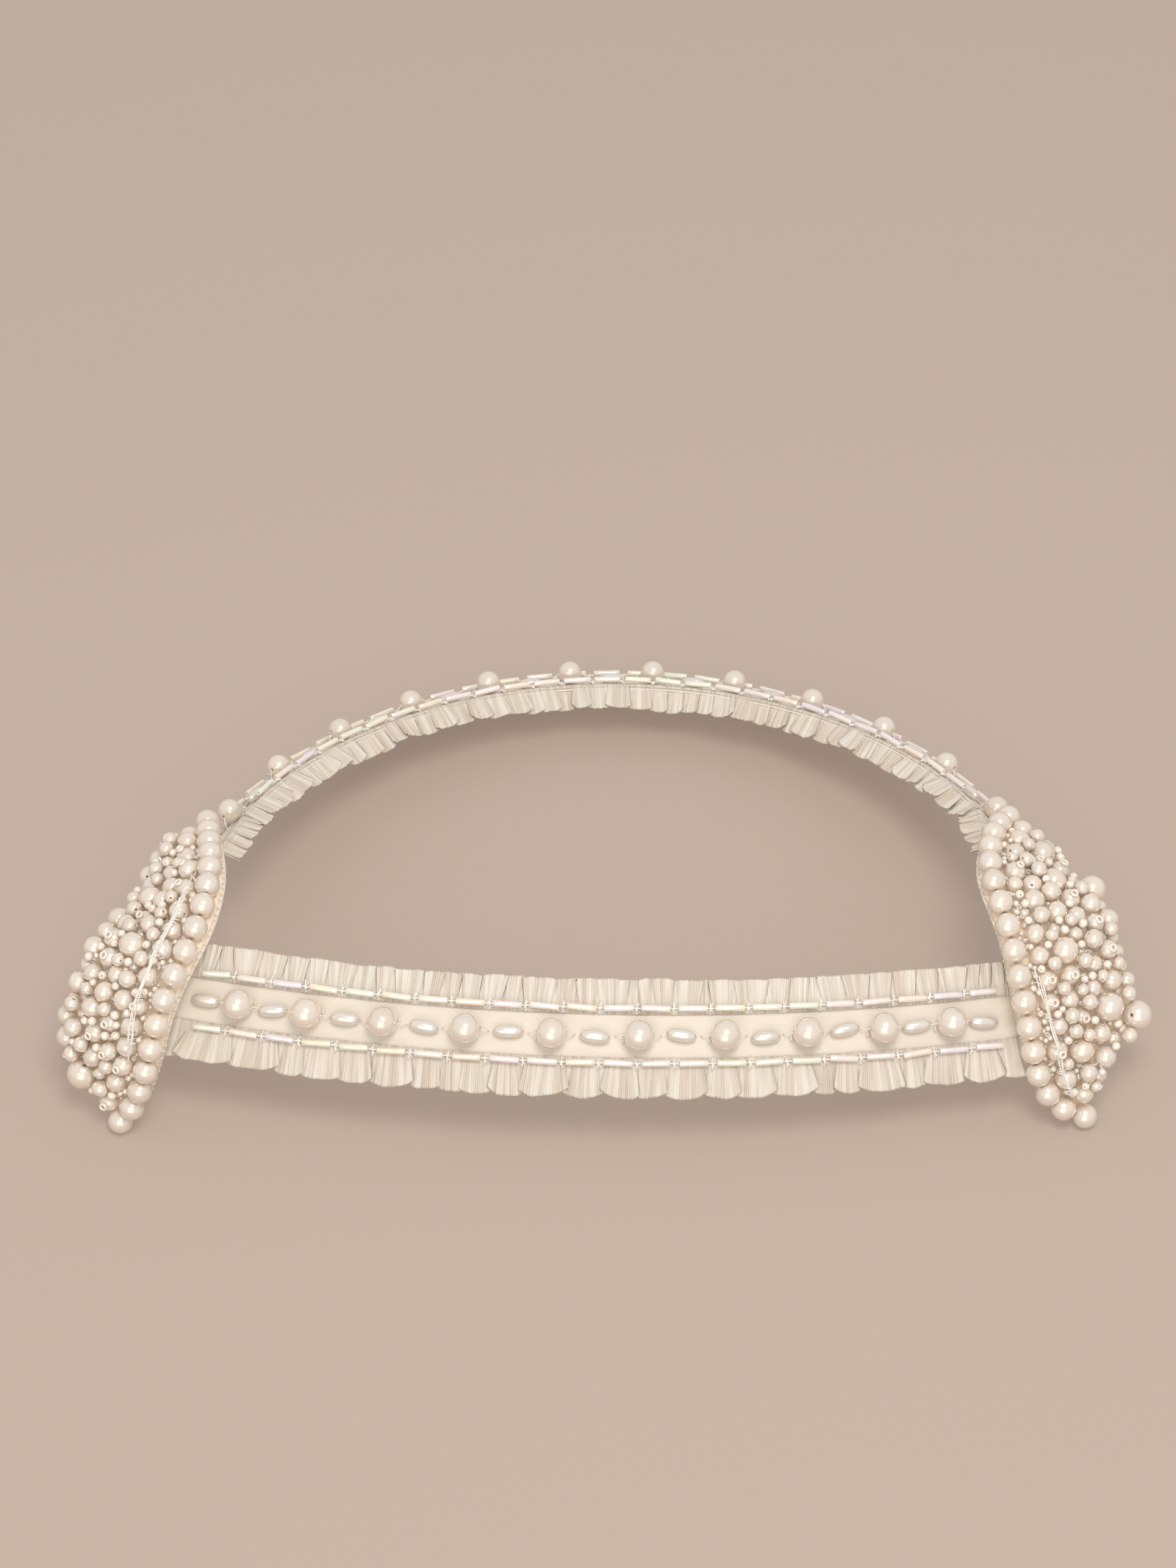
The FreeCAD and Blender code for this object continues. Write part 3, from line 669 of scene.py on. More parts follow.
# ---- ribbons ----
def ribbon(strap, first, last, width, top, thick, seed, wave=0.12, step=1.0, curl=0.0):
    """A ribbon with rolled edges and the slight waves that the stitching pulls in it."""
    s = np.linspace(first, last, max(8, int((last - first) / step)))
    half, edge = width / 2, thick / 2
    w_top = np.concatenate(([-half + 0.02, -half + 0.15], np.linspace(-half + 0.6, half - 0.6, 15),
                            [half - 0.15, half - 0.02]))
    loop_w = np.concatenate((w_top, w_top[::-1]))
    loop_n = np.concatenate((np.full(len(w_top), top), np.full(len(w_top), top - thick)))
    loop_n[[0, len(w_top) - 1, len(w_top), -1]] = (top - edge * 0.7, top - edge * 0.7,
                                                  top - edge * 1.3, top - edge * 1.3)
    grid_s, grid_w = np.meshgrid(s, loop_w, indexing="ij")
    sway = (smooth_noise(s, 9, seed)[:, None] * np.cos(loop_w / half * 2.2 + 0.4)
            + 0.5 * smooth_noise(s, 4, seed + 1)[:, None] * np.sin(loop_w / half * 3.1))
    pile = Pile()
    turned = curl * np.clip((np.abs(loop_w) - half + 0.8) / 0.8, 0, 1) ** 1.5
    points = strap.points(grid_s, grid_w, loop_n + wave * sway + turned)
    cloth = np.stack((grid_s, grid_w, np.zeros_like(grid_s)), -1)
    add_closed_strip(pile, points, cloth)
    return pile


def add_closed_strip(pile, points, cloth):
    """A strip whose sections are closed loops, with its two ends filled."""
    rows, columns = points.shape[:2]
    start = pile.count
    pile.add(points, grid_faces(rows, columns, False, True), cloth)
    half = columns // 2
    ends = []
    for row, flip in ((0, False), (rows - 1, True)):
        for j in range(half - 1):
            a = start + row * columns
            quad = (a + j, a + j + 1, a + columns - 2 - j, a + columns - 1 - j)
            ends.append(quad[::-1] if flip else quad)
    pile.faces.append(np.array(ends))


RUN = {"front": (front, front.first - 1.5, front.last + 1.5),
       "back": (back, back.first + 5.0, back.last - 5.0)}
BODY = {"front": ROOT, "back": BACK}


LAYERS = (
    # piece, node, slot, width, top, thickness, seed, waves, step, curl of the edges, lies on
    ("satin_band", "face_ribbon", "satin_ribbon", RIBBON_WIDTH, 0.0, RIBBON_THICK, 20, 0.12,
     1.0, -0.38, "stiffener"),
    ("lining_band", "lining_ribbon", "satin_ribbon", RIBBON_WIDTH, LINING_TOP, RIBBON_THICK,
     30, 0.12, 1.0, 0.38, "stiffener"),
    ("interfacing", "stiffener", "stiffener", CORE_WIDTH, CORE_TOP, CORE_THICK, 40, 0.02, 2.0,
     0.0, "lining_band"))


def make_ribbons():
    for count, (name, (strap, first, last)) in enumerate(RUN.items()):
        for layer, node, slot, width, top, thick, seed, wave, step, curl, under in LAYERS:
            pile = ribbon(strap, first, last, width, top, thick, seed + count, wave, step, curl)
            piece = make_piece(f"{name}_{layer}", pile, BODY[name], slot, (f"{name}_{node}",))
        pile = Pile()
        s = np.linspace(first + WIRE_INSET, last - WIRE_INSET, 60)
        for side in (-1, 1):
            strand(pile, strap.points(s, side * WIRE_LINE, WIRE_DEPTH), WIRE_RADIUS, 8)
        make_piece(name + "_wires", pile, BODY[name], "wire", (name + "_edge_wires",))


# ---- ruffles ----
RUFFLES = {
    # name: strap, first, last, side, droop, reach, fold spacing, fold depth, scallop,
    # how far the hem splays out at the ends, seed
    "front_upper_frill": (front, front.first - 1.0, front.last + 1.0, 1, 6, 13.1, (3.2, 6.5),
                          1.1, 0.6, 0.0, 3),
    "front_lower_frill": (front, front.first - 0.5, front.last + 0.5, -1, 6, 14.3, (5.5, 11.0),
                          2.0, 2.3, 1.5, 5),
    "back_upper_frill": (back, back.first + 0.5, back.last - 0.5, 1, 58, 13.6, (3.6, 6.4),
                         1.8, 1.9, 2.5, 8),
    "back_lower_frill": (back, back.first + 2.5, back.last - 2.5, -1, 18, 14.0, (5.0, 9.0),
                         1.3, 1.4, 2.0, 13)}
# across the strip: the heading runs in from HEAD_END to HEAD_IN and back out to SEAM
HEAD_END, HEAD_IN, SEAM, FOLD_RUN = 7.6, 5.0, 7.0, 1.6
HEADING_LEVEL, FRILL_LEVEL = 0.16, 0.52
RIB_PITCH, FINE_PITCH = 1.3, 0.62
FRILL_THICK = 0.22


def fold_lines(first, last, spacing, rng):
    """Where one pleat tucks under the next, which way, and how deep."""
    lines, s = [], first - spacing[0]
    while s < last + spacing[1]:
        lines.append((s, rng.random() < 0.68, rng.uniform(0.35, 1.0)))
        s += rng.uniform(*spacing)
    return lines


def frill(strap, first, last, side, droop, reach, spacing, depth, scallop, splay, seed):
    """A gathered strip with its heading turned under, knife pleats and fine ribs."""
    rng = random.Random(seed)
    s = np.linspace(first, last, int((last - first) / 0.2))
    tucked, raised, shift = (np.zeros_like(s) for _ in range(3))
    lines = fold_lines(first, last, spacing, rng)
    for place, over_right, deep in lines:
        away = s - place
        near = np.exp(-np.abs(away) / FOLD_RUN)
        after = away >= 0
        under = after if over_right else ~after
        tucked += np.where(under, near, 0) * deep
        raised += np.where(under, 0, near) * deep
        shift += np.where(after, -near, near) * deep
    # the hem of each lobe is rounded: longest between two folds, shorter towards them
    folds = np.array([place for place, _, _ in lines])
    depths = np.array([deep for _, _, deep in lines])
    lobe = np.clip(np.searchsorted(folds, s) - 1, 0, len(folds) - 2)
    across_lobe = np.clip((s - folds[lobe]) / (folds[lobe + 1] - folds[lobe]), 0, 1)
    cut = np.where(across_lobe < 0.5, depths[lobe], depths[lobe + 1])
    notch = cut * np.abs(2 * across_lobe - 1) ** 3
    fan = (across_lobe - 0.5) * (folds[lobe + 1] - folds[lobe])
    jitter = smooth_noise(s, 3.1, seed + 1) * 0.9 + smooth_noise(s, 1.3, seed + 2) * 0.35
    ribs = np.abs(np.sin(math.pi * (s + jitter) / RIB_PITCH)) - 0.6
    fine = np.sin(TAU * (s + 0.3 * jitter) / FINE_PITCH)
    roll = smooth_noise(s, 5.5, seed + 3)
    wander = smooth_noise(s, 7.0, seed + 4)
    hem = 0.35 * smooth_noise(s, 6.0, seed + 5) + 0.18 * smooth_noise(s, 1.6, seed + 6)
    fall = math.radians(droop)
    # across the strip: the turned-under heading, the seam under the bugles, then the frill
    rows = np.concatenate((np.linspace(HEAD_END, HEAD_IN, 4), np.linspace(HEAD_IN, SEAM, 4),
                           np.linspace(SEAM, reach, 15)[1:]))
    under = np.arange(len(rows)) < 4
    part = np.where(under, 0, np.clip((rows - SEAM) / (reach - SEAM), 0, 1))[None, :]
    run = np.where(under, 0, (rows - SEAM).clip(0))[None, :]
    open_out = part ** 0.8
    drop = fall * (1 + 0.25 * wander[:, None] * (droop > 30))
    stretch = 1 + (hem - scallop * notch)[:, None] / (reach - SEAM) * part
    w = np.where(under, rows, np.minimum(rows, SEAM))[None, :] + run * np.cos(drop) * stretch
    n = np.where(under, HEADING_LEVEL, FRILL_LEVEL)[None, :] - run * np.sin(drop) * stretch
    lift = (open_out * (0.5 * raised - 0.95 * tucked)[:, None] * depth
            + open_out * 0.3 * roll[:, None] * depth
            + (0.28 + 0.72 * part ** 0.6) * (0.34 * ribs + 0.05 * fine)[:, None]
            * np.where(under, 0.15, 1.0)[None, :])
    if side < 0:
        lift = lift + 0.25 * open_out
    w = w + lift * np.sin(drop)
    n = n + lift * np.cos(drop)
    ends = np.exp((s - last) / 9.0) - np.exp((first - s) / 9.0)
    slant = (0.5 * smooth_noise(s, 11.0, seed + 7) + 0.16 * fan + splay * ends)[:, None] * part
    along = s[:, None] + 0.85 * shift[:, None] * open_out + slant
    points = strap.points(along, side * w, n)
    widths = np.cumsum(np.abs(np.diff(rows, prepend=rows[0])))
    gather = np.cumsum(np.linalg.norm(np.diff(points[:, -1], axis=0, prepend=points[:1, -1]),
                                      axis=1))
    cloth = np.stack(np.broadcast_arrays(gather[:, None], widths[None, :], 0.0), -1)
    pile = Pile()
    pile.add(points, grid_faces(*points.shape[:2]), cloth)
    return pile, float(widths[-1])


def make_frill(name, strip, body, replaced=()):
    """A gathered strip as a piece, with its cloth's thickness."""
    pile, width = strip
    piece = make_piece(name, pile, body, "pleated_ruffle", replaced)
    shell = piece.modifiers.new("cloth thickness", "SOLIDIFY")
    shell.thickness = FRILL_THICK * MM
    shell.offset = 0


def make_frills():
    for name, values in RUFFLES.items():
        strap_name = name.split("_")[0]
        make_frill(name, frill(*values), BODY[strap_name],
                   (name.replace("frill", "ruffle"),))


# ---- beads on the straps ----
PEARL_FINE = pearl_shape(0.11, 28, 17)
PEARL_SHAPE = pearl_shape(0.12, 22, 13)
PEARL_SMALL = pearl_shape(0.17, 16, 10)
RICE_SHAPE = rice_shape(0.16, 20, 15)
RING = ring_shape(0.42, 14, 9)
STOP = ring_shape(0.40, 16, 9)
TUBE = tube_shape(0.45, 16)
KNOT = pearl_shape(0.2, 8, 6)
RICE_SIZE = {"front": (1.5, 3.5), "back": (1.3, 3.0)}      # half its width and half its length
TUBE_RADIUS = {"front": 0.75, "back": 0.7}
TUBE_HALF = 3.3
STITCH_LEVEL, KNOT_LEVEL, KNOT_RADIUS = 1.15, 1.35, 0.32


def strap_tangent(strap, centre):
    return strap.frames(strap.station(centre))[1]


def arc(start, end, rise, steps=7):
    """A short thread from start to end that bows along rise."""
    share = np.linspace(0, 1, steps)[:, None]
    return start * (1 - share) + end * share + np.asarray(rise) * np.sin(math.pi * share)


def bead_piece(name, shape, places, rng, wobble, body, slot, replaced=()):
    """One piece that holds a copy of a bead at each place."""
    pile = Pile()
    scatter(pile, shape, places, rng, wobble)
    return make_piece(name, pile, body, slot, replaced)


def make_strap_beads(name, strap, rng):
    body = BODY[name]
    places = [(c, strap_tangent(strap, c) + [rng.gauss(0, 0.12) for _ in range(3)], r, r)
              for c, r in balls(name + "_round_pearls")]
    bead_piece(name + "_centre_pearls", PEARL_FINE, places, rng, 0.015, body, "pearl",
               (name + "_round_pearls",))
    places = [(c, axis, *RICE_SIZE[name]) for c, axis in rods(name + "_rice_pearls")]
    bead_piece(name + "_long_pearls", RICE_SHAPE, places, rng, 0.05, body, "rice_pearl",
               (name + "_rice_pearls",))
    places = [(c, strap_tangent(strap, c), r, r) for c, r in balls(name + "_seed_beads")]
    bead_piece(name + "_seeds", RING, places, rng, 0.0, body, "clear_seed",
               (name + "_seed_beads",))
    for row in ("upper", "lower"):
        places = []
        for centre, axis in rods(f"{name}_{row}_bugles"):
            nudge = [rng.gauss(0, 0.035) for _ in range(3)]
            places.append((centre, axis + nudge, TUBE_RADIUS[name],
                           TUBE_HALF * rng.uniform(0.97, 1.03)))
        bead_piece(f"{name}_{row}_tubes", TUBE, places, rng, 0.0, body, "iridescent_bugle",
                   (f"{name}_{row}_bugles",))
    make_stitches(name, strap, rng)


def make_stitches(name, strap, rng):
    """Thread over the gap between bugles, through each bugle, and through each pearl."""
    pile = Pile()
    level = STITCH_LEVEL + TUBE_RADIUS[name] * 0.5
    for centre, _ in rods(name + "_bugle_stitches"):
        s = strap.station(centre)
        _, _, across, normal = strap.frames(s)
        side = 1 if np.dot(centre - strap.points(s, 0.0, 0.0), across) > 0 else -1

        def spot(ds, w, n):
            return strap.points(s + ds, side * w, n)

        strand(pile, arc(spot(rng.uniform(-0.2, 0.2), 4.7, 0.15),
                         spot(rng.uniform(-0.4, 0.4), 7.9, 0.95), normal * 0.75), 0.17)
        strand(pile, arc(spot(-0.55, 5.5, 0.75), spot(0.45, 7.5, 0.95), normal * 0.5), 0.15)
        strand(pile, arc(spot(-1.25, BUGLE_LINE, level), spot(1.25, BUGLE_LINE, level),
                         normal * -0.25), 0.2)
        knot = spot(rng.uniform(-0.2, 0.2), BUGLE_LINE + rng.uniform(-0.5, 0.7), KNOT_LEVEL)
        verts, faces = KNOT
        pile.add(verts * KNOT_RADIUS + knot, faces)
    for centre, radius in balls(name + "_round_pearls"):
        tangent = strap_tangent(strap, centre)
        normal = strap.frames(strap.station(centre))[3]
        for way in (-1, 1):
            start = centre + tangent * way * radius * 0.85
            end = centre + tangent * way * (radius + 1.9) - normal * (radius - 0.1)
            strand(pile, arc(start, end, tangent * way * 0.3 + normal * 0.3), 0.13)
    make_piece(name + "_threads", pile, BODY[name], "thread", (name + "_bugle_stitches",))


# ---- panels ----
STOP_RADIUS = 1.06
FILL_TRIES, FILL_BEADS, FILL_SEEDS = 2600, 190, 120
FILL_LEVEL, FILL_STEP = 0.3, 0.45
GROOVE = {"left": (0.28, 0.80, 4), "right": (0.55, 0.93, 3)}      # first, last, how many
GROOVE_LANE, LANE_PITCH, LANE_DRIFT = 3.7, 0.3, 0.7
GROOVE_LEVEL, TOP_LEVEL, OPEN_LEVEL = -0.6, 6.0, 1.0
LOOPED_PEARLS = 34
EDGE_STITCHES, EDGE_PITCH, EDGE_IN = (0.03, 0.98), 0.021, 0.9
LOOSE_LOOPS, TAIL_AT, TAIL_LENGTH, TAIL_BEAD = 7, 0.985, 4.2, 0.95


def leaf(panel, rows, columns, top, thick, crowned, swell, seed, margin=0.6):
    """A leaf-shaped pad or layer, closed all round, with a soft rounded edge."""
    rng = np.random.default_rng(seed)
    t = np.linspace(0.0, 1.0, rows)
    share = np.linspace(0, 1, columns)
    grid_t, grid_u = np.meshgrid(t, share, indexing="ij")
    span = panel.width(grid_t) + 2 * margin
    end = np.minimum(1, np.minimum(grid_t, 1 - grid_t) / 0.03 + 0.4) ** 0.5
    w = -margin + span * (0.5 + (grid_u - 0.5) * end)
    round_edge = 1 - (2 * np.abs(grid_u - 0.5)) ** 12
    bumps = rng.uniform(-1, 1, (rows, columns))
    bumps = (bumps + np.roll(bumps, 1, 0) + np.roll(bumps, 1, 1)) / 3
    inner = (grid_u > 0) & (grid_u < 1) & (grid_t > 0) & (grid_t < 1)
    upper = panel.points(grid_t, w, top - thick * 0.5 + thick * 0.5 * round_edge
                         + swell * bumps * inner, crowned)
    lower = panel.points(grid_t, w, top - thick * 0.5 - thick * 0.5 * round_edge, False)
    pile = Pile()
    count = rows * columns
    pile.add(upper, grid_faces(rows, columns), np.stack((grid_t * 100, w, 0 * w), -1))
    pile.add(lower, grid_faces(rows, columns)[:, ::-1], np.stack((grid_t * 100, w, 0 * w), -1))
    rim = ([i * columns for i in range(rows)]
           + [(rows - 1) * columns + j for j in range(1, columns)]
           + [i * columns + columns - 1 for i in range(rows - 2, -1, -1)]
           + [j for j in range(columns - 2, 0, -1)])
    wall = [(a, b, b + count, a + count) for a, b in zip(rim, rim[1:] + rim[:1])]
    pile.faces.append(np.array(wall))
    return pile


def field_normal(panel, centre):
    return panel.frames(panel.nearest(centre))[3]


def free_height(panel, t, w, radius, taken):
    """How high above the base a thread has to lie to clear the beads there."""
    centres, radii = taken
    for n in np.arange(GROOVE_LEVEL, TOP_LEVEL, 0.2):
        if (np.linalg.norm(centres - panel.points(t, w, n), axis=1) > radii + radius).all():
            return n
    return OPEN_LEVEL


def pearl_place(panel, kind, centre, radius, rng):
    """How a pearl sits: strung along the border, or lying on the field any way round."""
    normal = field_normal(panel, centre)
    if kind in ("border", "tip"):
        axis = panel.line(panel.nearest(centre))[1]
    else:
        around = basis(normal, rng.uniform(0, TAU))[0]
        axis = around + normal * rng.gauss(0, 0.3)
    squeeze = rng.uniform(0.9, 1.02) if kind in ("big", "medium") else 1.0
    return centre, axis, radius, radius * squeeze


def tumbled_piece(name, found, shape, rng, body, slot, replaced=()):
    """Beads that lie with their holes any way round."""
    places = [(centre, [rng.gauss(0, 1) for _ in range(3)], radius, radius)
              for centre, radius in found]
    bead_piece(name, shape, places, rng, 0.04, body, slot, replaced)


def centres_and_radii(beads):
    return np.array([c for c, _ in beads]), np.array([r for _, r in beads])


def make_panel(side, rng):
    panel, body = panels[side], side + "_panel"
    pad = make_piece(side + "_pad", leaf(panel, 90, 26, BASE_TOP, BASE_THICK, True, 0.25, 7),
                     body, "padding_cover", (side + "_padded_base",))
    outward_faces(pad)
    felt = make_piece(side + "_felt", leaf(panel, 80, 20, FELT_TOP, FELT_THICK, False, 0.1, 9),
                      body, "felt", (side + "_felt_backing",))
    outward_faces(felt)

    every = []
    for kind in ("border", "edge", "big", "medium", "small", "tip"):
        node = f"{side}_{kind}_pearls"
        found = balls(node)
        every += found
        places = [pearl_place(panel, kind, centre, radius, rng) for centre, radius in found]
        shape = PEARL_SMALL if kind == "small" else PEARL_SHAPE
        bead_piece(f"{side}_{kind}_row", shape, places, rng, 0.02, body, "pearl", (node,))
    seeds, clears = balls(side + "_seed_beads"), balls(side + "_clear_beads")
    every += seeds + clears
    tumbled_piece(side + "_seeds", seeds, PEARL_SMALL, rng, body, "seed_bead",
                  (side + "_seed_beads",))
    tumbled_piece(side + "_crystals", clears, RING, rng, body, "clear_seed",
                  (side + "_clear_beads",))
    places = [(c, axis, STOP_RADIUS, STOP_RADIUS) for c, axis in rods(side + "_stop_beads", True)]
    bead_piece(side + "_stops", STOP, places, rng, 0.0, body, "stop_ring",
               (side + "_stop_beads",))
    extra = fill_gaps(panel, centres_and_radii(every), rng)
    tumbled_piece(side + "_fill_seeds", extra[:FILL_SEEDS], PEARL_SMALL, rng, body, "seed_bead")
    tumbled_piece(side + "_fill_crystals", extra[FILL_SEEDS:], RING, rng, body, "clear_seed")
    make_panel_threads(side, panel, body, centres_and_radii(every + extra), rng)


def fill_gaps(panel, taken, rng):
    """Tiny beads in the gaps that the larger ones leave, a third of them in the groove."""
    centres, radii = taken
    placed = []
    for attempt in range(FILL_TRIES):
        if len(placed) == FILL_BEADS:
            break
        radius = rng.uniform(0.6, 0.95)
        t = rng.uniform(0.015, 0.985)
        w = rng.uniform(3.0, 4.6 if attempt % 3 == 0 else panel.width(t) + 0.3)
        for n in np.arange(BASE_TOP + radius, FILL_LEVEL, FILL_STEP):
            point = panel.points(t, w, n)
            if (np.linalg.norm(centres - point, axis=1) > radii + radius * 0.94).all():
                placed.append((point, radius))
                centres = np.vstack((centres, point))
                radii = np.append(radii, radius)
                break
    return placed


def groove_strand(pile, panel, stations, lane, drift, taken, seed):
    """A thread laid over the beads along the groove, and short ones that hold it down."""
    heights = [free_height(panel, t, lane + sway, 0.12, taken)
               for t, sway in zip(stations, drift)]
    heights = np.array([max(heights[max(0, i - 3):i + 4]) for i in range(len(heights))])
    for _ in range(8):
        heights[1:-1] = (heights[:-2] + 2 * heights[1:-1] + heights[2:]) / 4
    sway = 0.25 * smooth_noise(stations * 100, 6.0, seed)
    strand(pile, panel.points(stations, lane + drift + sway, heights + 0.05), 0.15)
    for i in range(4, len(stations), 9):
        t = stations[i]
        a = panel.points(t, lane + drift[i] - 0.8, heights[i] - 0.4)
        b = panel.points(t + 0.01, lane + drift[i] + 0.9, heights[i] - 0.4)
        strand(pile, arc(a, b, panel.frames(t)[3] * 0.9), 0.12)


def make_panel_threads(side, panel, body, taken, rng):
    """Strands along the groove, loops over the beads and whip stitches round the edge."""
    pile = Pile()
    first, last, count = GROOVE[side]
    for k in range(count):
        stations = np.linspace(first + 0.02 * k, last - 0.015 * k, 46)
        drift = LANE_DRIFT * np.sin(np.pi * (stations - first) / (last - first)) ** 2
        groove_strand(pile, panel, stations, GROOVE_LANE + LANE_PITCH * k, drift, taken, 60 + k)
    centres, radii = taken
    big = [i for i in range(len(radii)) if 1.2 < radii[i] < 2.9]
    for i in rng.sample(big, min(len(big), LOOPED_PEARLS)):
        normal = field_normal(panel, centres[i])
        side_way = basis(normal, rng.uniform(0, TAU))[0]
        turn = np.linspace(0.15, rng.uniform(1.2, 1.9), 9)[:, None]
        reach = radii[i] + 0.12
        strand(pile, centres[i] + reach * (normal * np.cos(turn) + side_way * np.sin(turn)),
               0.11)
    whip_stitches(pile, panel, rng)
    if side == "right":
        loose_ends(pile, panel, rng)
    make_piece(side + "_threads", pile, body, "thread", (side + "_groove_thread",))


def whip_stitches(pile, panel, rng):
    """Slanted stitches that hold the felt to the pad, all round the leaf."""
    for edge, way in ((0, -1), (1, 1)):
        for t in np.arange(*EDGE_STITCHES, EDGE_PITCH):
            t = t + rng.uniform(-0.003, 0.003)
            w = edge * panel.width(t) + 0.75 * way - EDGE_IN * way
            a = panel.points(t, w, BASE_TOP - 0.1, False)
            b = panel.points(t + 0.008, w, FELT_TOP - FELT_THICK - 0.05, False)
            strand(pile, arc(a, b, panel.frames(t)[2] * 1.15 * way, 9), 0.13)


def loose_ends(pile, panel, rng):
    """Small loops of thread near the tip, and a tail that ends in a clear bead."""
    for _ in range(LOOSE_LOOPS):
        t, w = rng.uniform(0.8, 0.95), rng.uniform(6, 16)
        start = panel.points(t, w, 0.2)
        end = panel.points(t + 0.02, w + rng.uniform(-3, 3), 0.2)
        strand(pile, arc(start, end, panel.frames(t)[3] * rng.uniform(1.5, 3.0), 12), 0.11)
    start = panel.points(TAIL_AT, panel.width(TAIL_AT) - 1.0, -2.0)
    out = panel.frames(TAIL_AT)[2]
    end = start + out * TAIL_LENGTH + np.array((0.6, -1.0, -0.3))
    strand(pile, arc(start, end, (0.3, 0.2, 0.8), 9), 0.1)
    bead_piece("right_tail_crystal", RING, [(end, out, TAIL_BEAD, TAIL_BEAD)], rng, 0.0,
               "right_panel", "clear_seed")


# ---- side ribbons and the seams to the back strap ----
SIDE_ROWS, SIDE_COLUMNS = 70, 13
SIDE_FRILL_PAST = 1.6                  # how far a side frill runs on under its panel
SEAM_WIDTH = RIBBON_WIDTH - 0.6
SEAM_SPAN = (2.5, 8.0)                 # how far a seam reaches to either side of the strap's end
SEAM_BEND = (0.3, 4.5)                 # two distances into the seam from the strap's end; the points there are worked out but not used
SEAM_LAYERS = (("face", 0.06, -0.3), ("lining", -0.42, 0.4))      # name, top, edges' curl


class SidePath:
    """The way from the back strap's end up under a panel's inner edge."""

    def __init__(self, side):
        end = back.first if side == "left" else back.last
        origin, _, across, normal = back.frames(end)
        point, _, outward, up = panels[side].frames(np.linspace(*SIDE_RIBBON_SPAN, 9))
        middle = point + outward * SIDE_RIBBON_MIDDLE + up * SIDE_RIBBON_TOP
        self.middles = np.vstack((origin[None], middle))
        self.crosses = np.vstack((across[None], -outward))
        self.ups = np.vstack((normal[None], up))
        steps = np.linalg.norm(np.diff(self.middles, axis=0), axis=1)
        self.reach = np.concatenate(([0], np.cumsum(steps)))

    def points(self, s, w, n):
        s, w, n = np.broadcast_arrays(s, w, n)
        middle, cross, up = (np.stack([np.interp(s, self.reach, line[:, k])
                                       for k in range(3)], -1)
                             for line in (self.middles, self.crosses, self.ups))
        return middle + unit(cross) * w[..., None] + unit(up) * n[..., None]


def make_side_ribbon(side):
    path = SidePath(side)
    length = path.reach[-1]
    s = np.linspace(0, length, SIDE_ROWS)[:, None]
    there = np.linspace(-1, 1, SIDE_COLUMNS)
    w = SIDE_RIBBON_HALF * np.concatenate((there, there[::-1]))[None, :]
    n = np.repeat((0.0, -RIBBON_THICK), SIDE_COLUMNS)[None, :]
    rows = path.points(s, w, n)
    for _ in range(6):
        rows[1:-1] = (rows[:-2] + rows[1:-1] * 2 + rows[2:]) / 4
    pile = Pile()
    add_closed_strip(pile, rows, np.stack(np.broadcast_arrays(s, w, 0.0), -1))
    piece = make_piece(side + "_base_ribbon", pile, ROOT, "satin_ribbon",
                       (side + "_side_ribbon",), SIDE_SATIN)
    outward_faces(piece)


def make_side_frill(side):
    """The inner ruffle carries on beside the ribbon until the panel covers it."""
    path = SidePath(side)
    strip = frill(path, 0.2, path.reach[1] + SIDE_FRILL_PAST, 1, 50, 12.6, (3.4, 5.6), 1.3, 1.2,
                  0.0, 40 + len(side))
    make_frill(side + "_side_frill", strip, ROOT)


def make_seams():
    """Short lengths of ribbon that carry the straps' cloth across each side seam."""
    for side, end, way in (("left", back.first, 1), ("right", back.last, -1)):
        first, last = sorted((end - SEAM_SPAN[0] * way, end + SEAM_SPAN[1] * way))
        start, stop = (tuple(back.points(end + run * way, 0.0, 0.0) * MM) for run in SEAM_BEND)
        for layer, top, curl in SEAM_LAYERS:
            pile = ribbon(back, first, last, SEAM_WIDTH, top, RIBBON_THICK, 70, 0.05, 0.5, curl)
            piece = make_piece(f"{side}_{layer}_seam", pile, ROOT, "satin_ribbon", ride=False)
            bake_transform(piece)


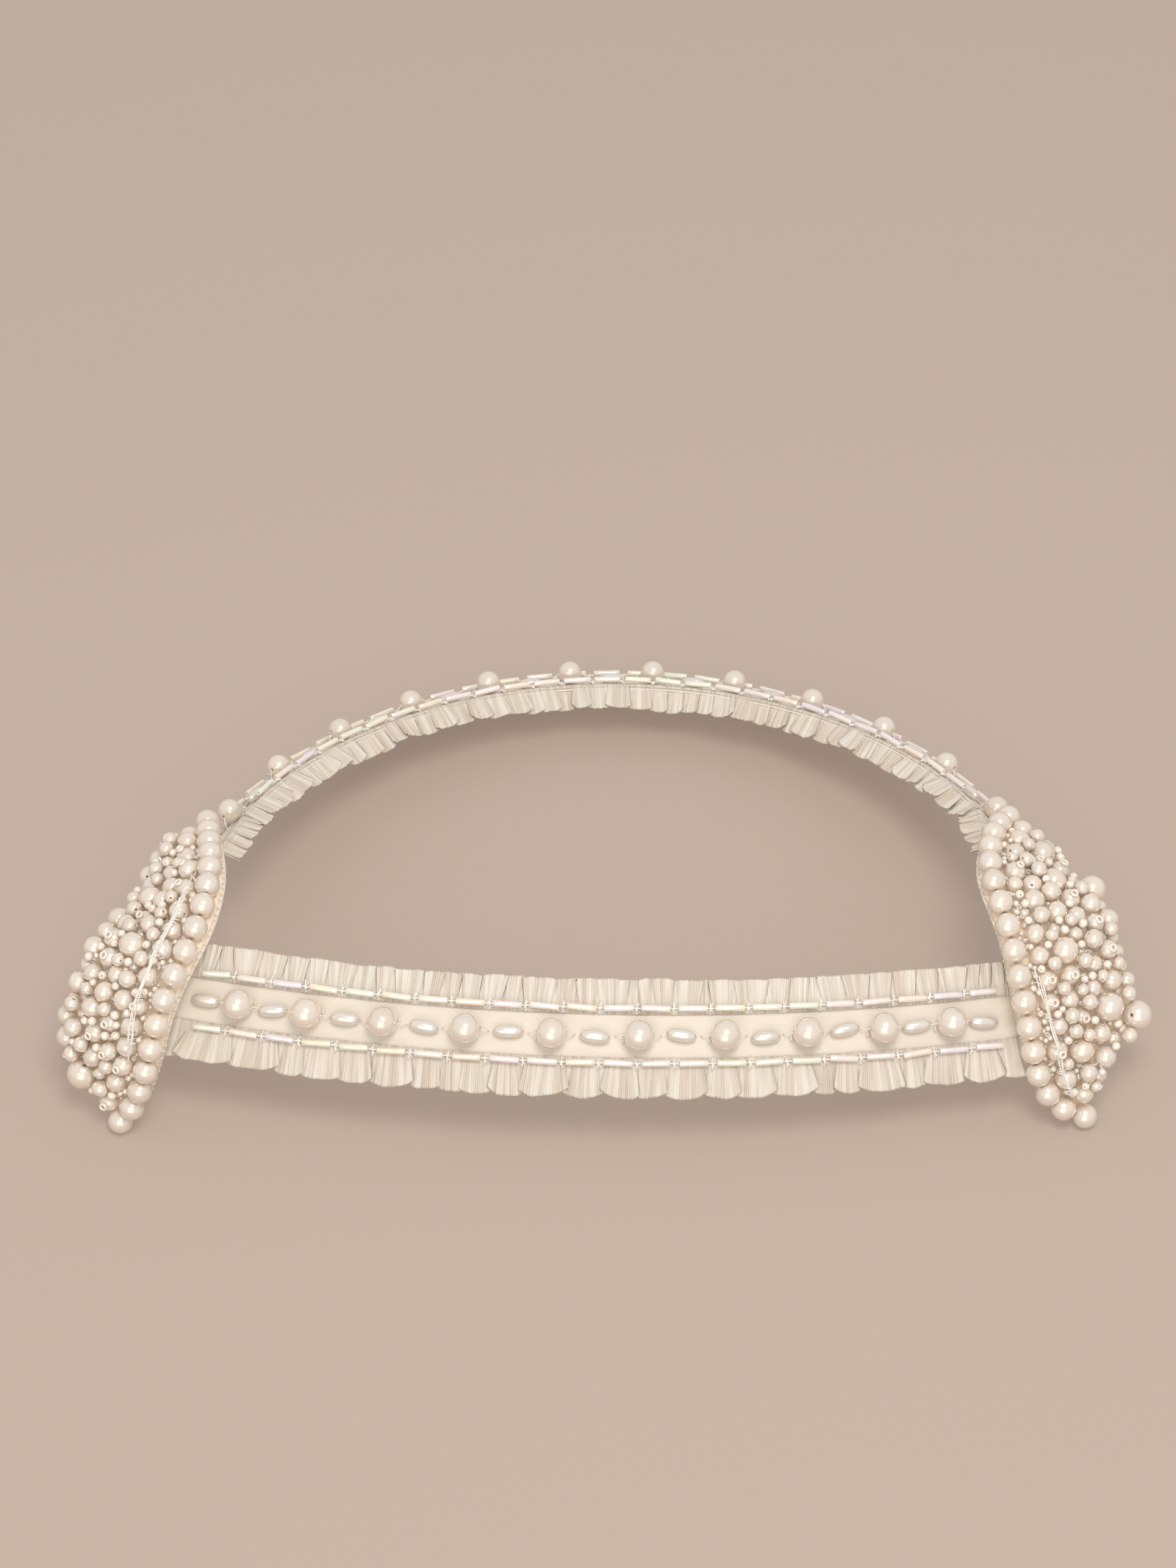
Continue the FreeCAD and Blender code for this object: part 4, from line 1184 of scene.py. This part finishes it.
# ---- stage ----
# each light's direction, its distance and size in metres, and its power
LIGHTS = {"softbox": ((0.10, -0.34, 0.93), 1.1, 0.36, 4.4),
          "front_fill": ((-0.12, -0.88, 0.46), 1.8, 1.5, 6.5)}
LIGHT_COLOR = (1.0, 0.98, 0.95)
ROOM_COLOR, ROOM_STRENGTH = (1.0, 0.97, 0.94, 1), 0.72
CAMERA_AT, CAMERA_PITCH = (-4.0, -548.2, 678.8), 46
CAMERA_LENS, CAMERA_SENSOR = 85, 36


def make_stage():
    bpy.ops.mesh.primitive_plane_add(size=6, location=(0, 0, 0))
    floor = bpy.context.object
    floor.name = "floor"
    floor.data.materials.append(floor_look())
    world = bpy.data.worlds.new("studio")
    bpy.context.scene.world = world
    world.use_nodes = True
    background = world.node_tree.nodes["Background"].inputs
    background["Color"].default_value = ROOM_COLOR
    background["Strength"].default_value = ROOM_STRENGTH
    for name, (direction, distance, size, power) in LIGHTS.items():
        light = bpy.data.lights.new(name, "AREA")
        light.shape = "SQUARE"
        light.size = size
        light.energy = power
        light.color = LIGHT_COLOR
        lamp = bpy.data.objects.new(name, light)
        bpy.context.scene.collection.objects.link(lamp)
        way = unit(direction)
        lamp.location = way * distance
        lamp.rotation_euler = Vector(way).to_track_quat("Z", "Y").to_euler()
    bpy.context.scene.view_settings.view_transform = "Standard"


def make_camera():
    data = bpy.data.cameras.new("camera")
    data.lens = CAMERA_LENS
    data.sensor_width = CAMERA_SENSOR
    data.clip_start, data.clip_end = 0.05, 20
    camera = bpy.data.objects.new("camera", data)
    bpy.context.scene.collection.objects.link(camera)
    camera.location = (np.array(CAMERA_AT) + MOVE) * MM
    camera.rotation_euler = (math.radians(90 - CAMERA_PITCH), 0, 0)
    bpy.context.scene.camera = camera


make_camera()
make_stage()
rng = random.Random(5)
make_ribbons()
make_frills()
for name, (strap, _, _) in RUN.items():
    make_strap_beads(name, strap, rng)
for side in SIDES:
    make_panel(side, rng)
    make_side_ribbon(side)
    make_side_frill(side)
make_seams()
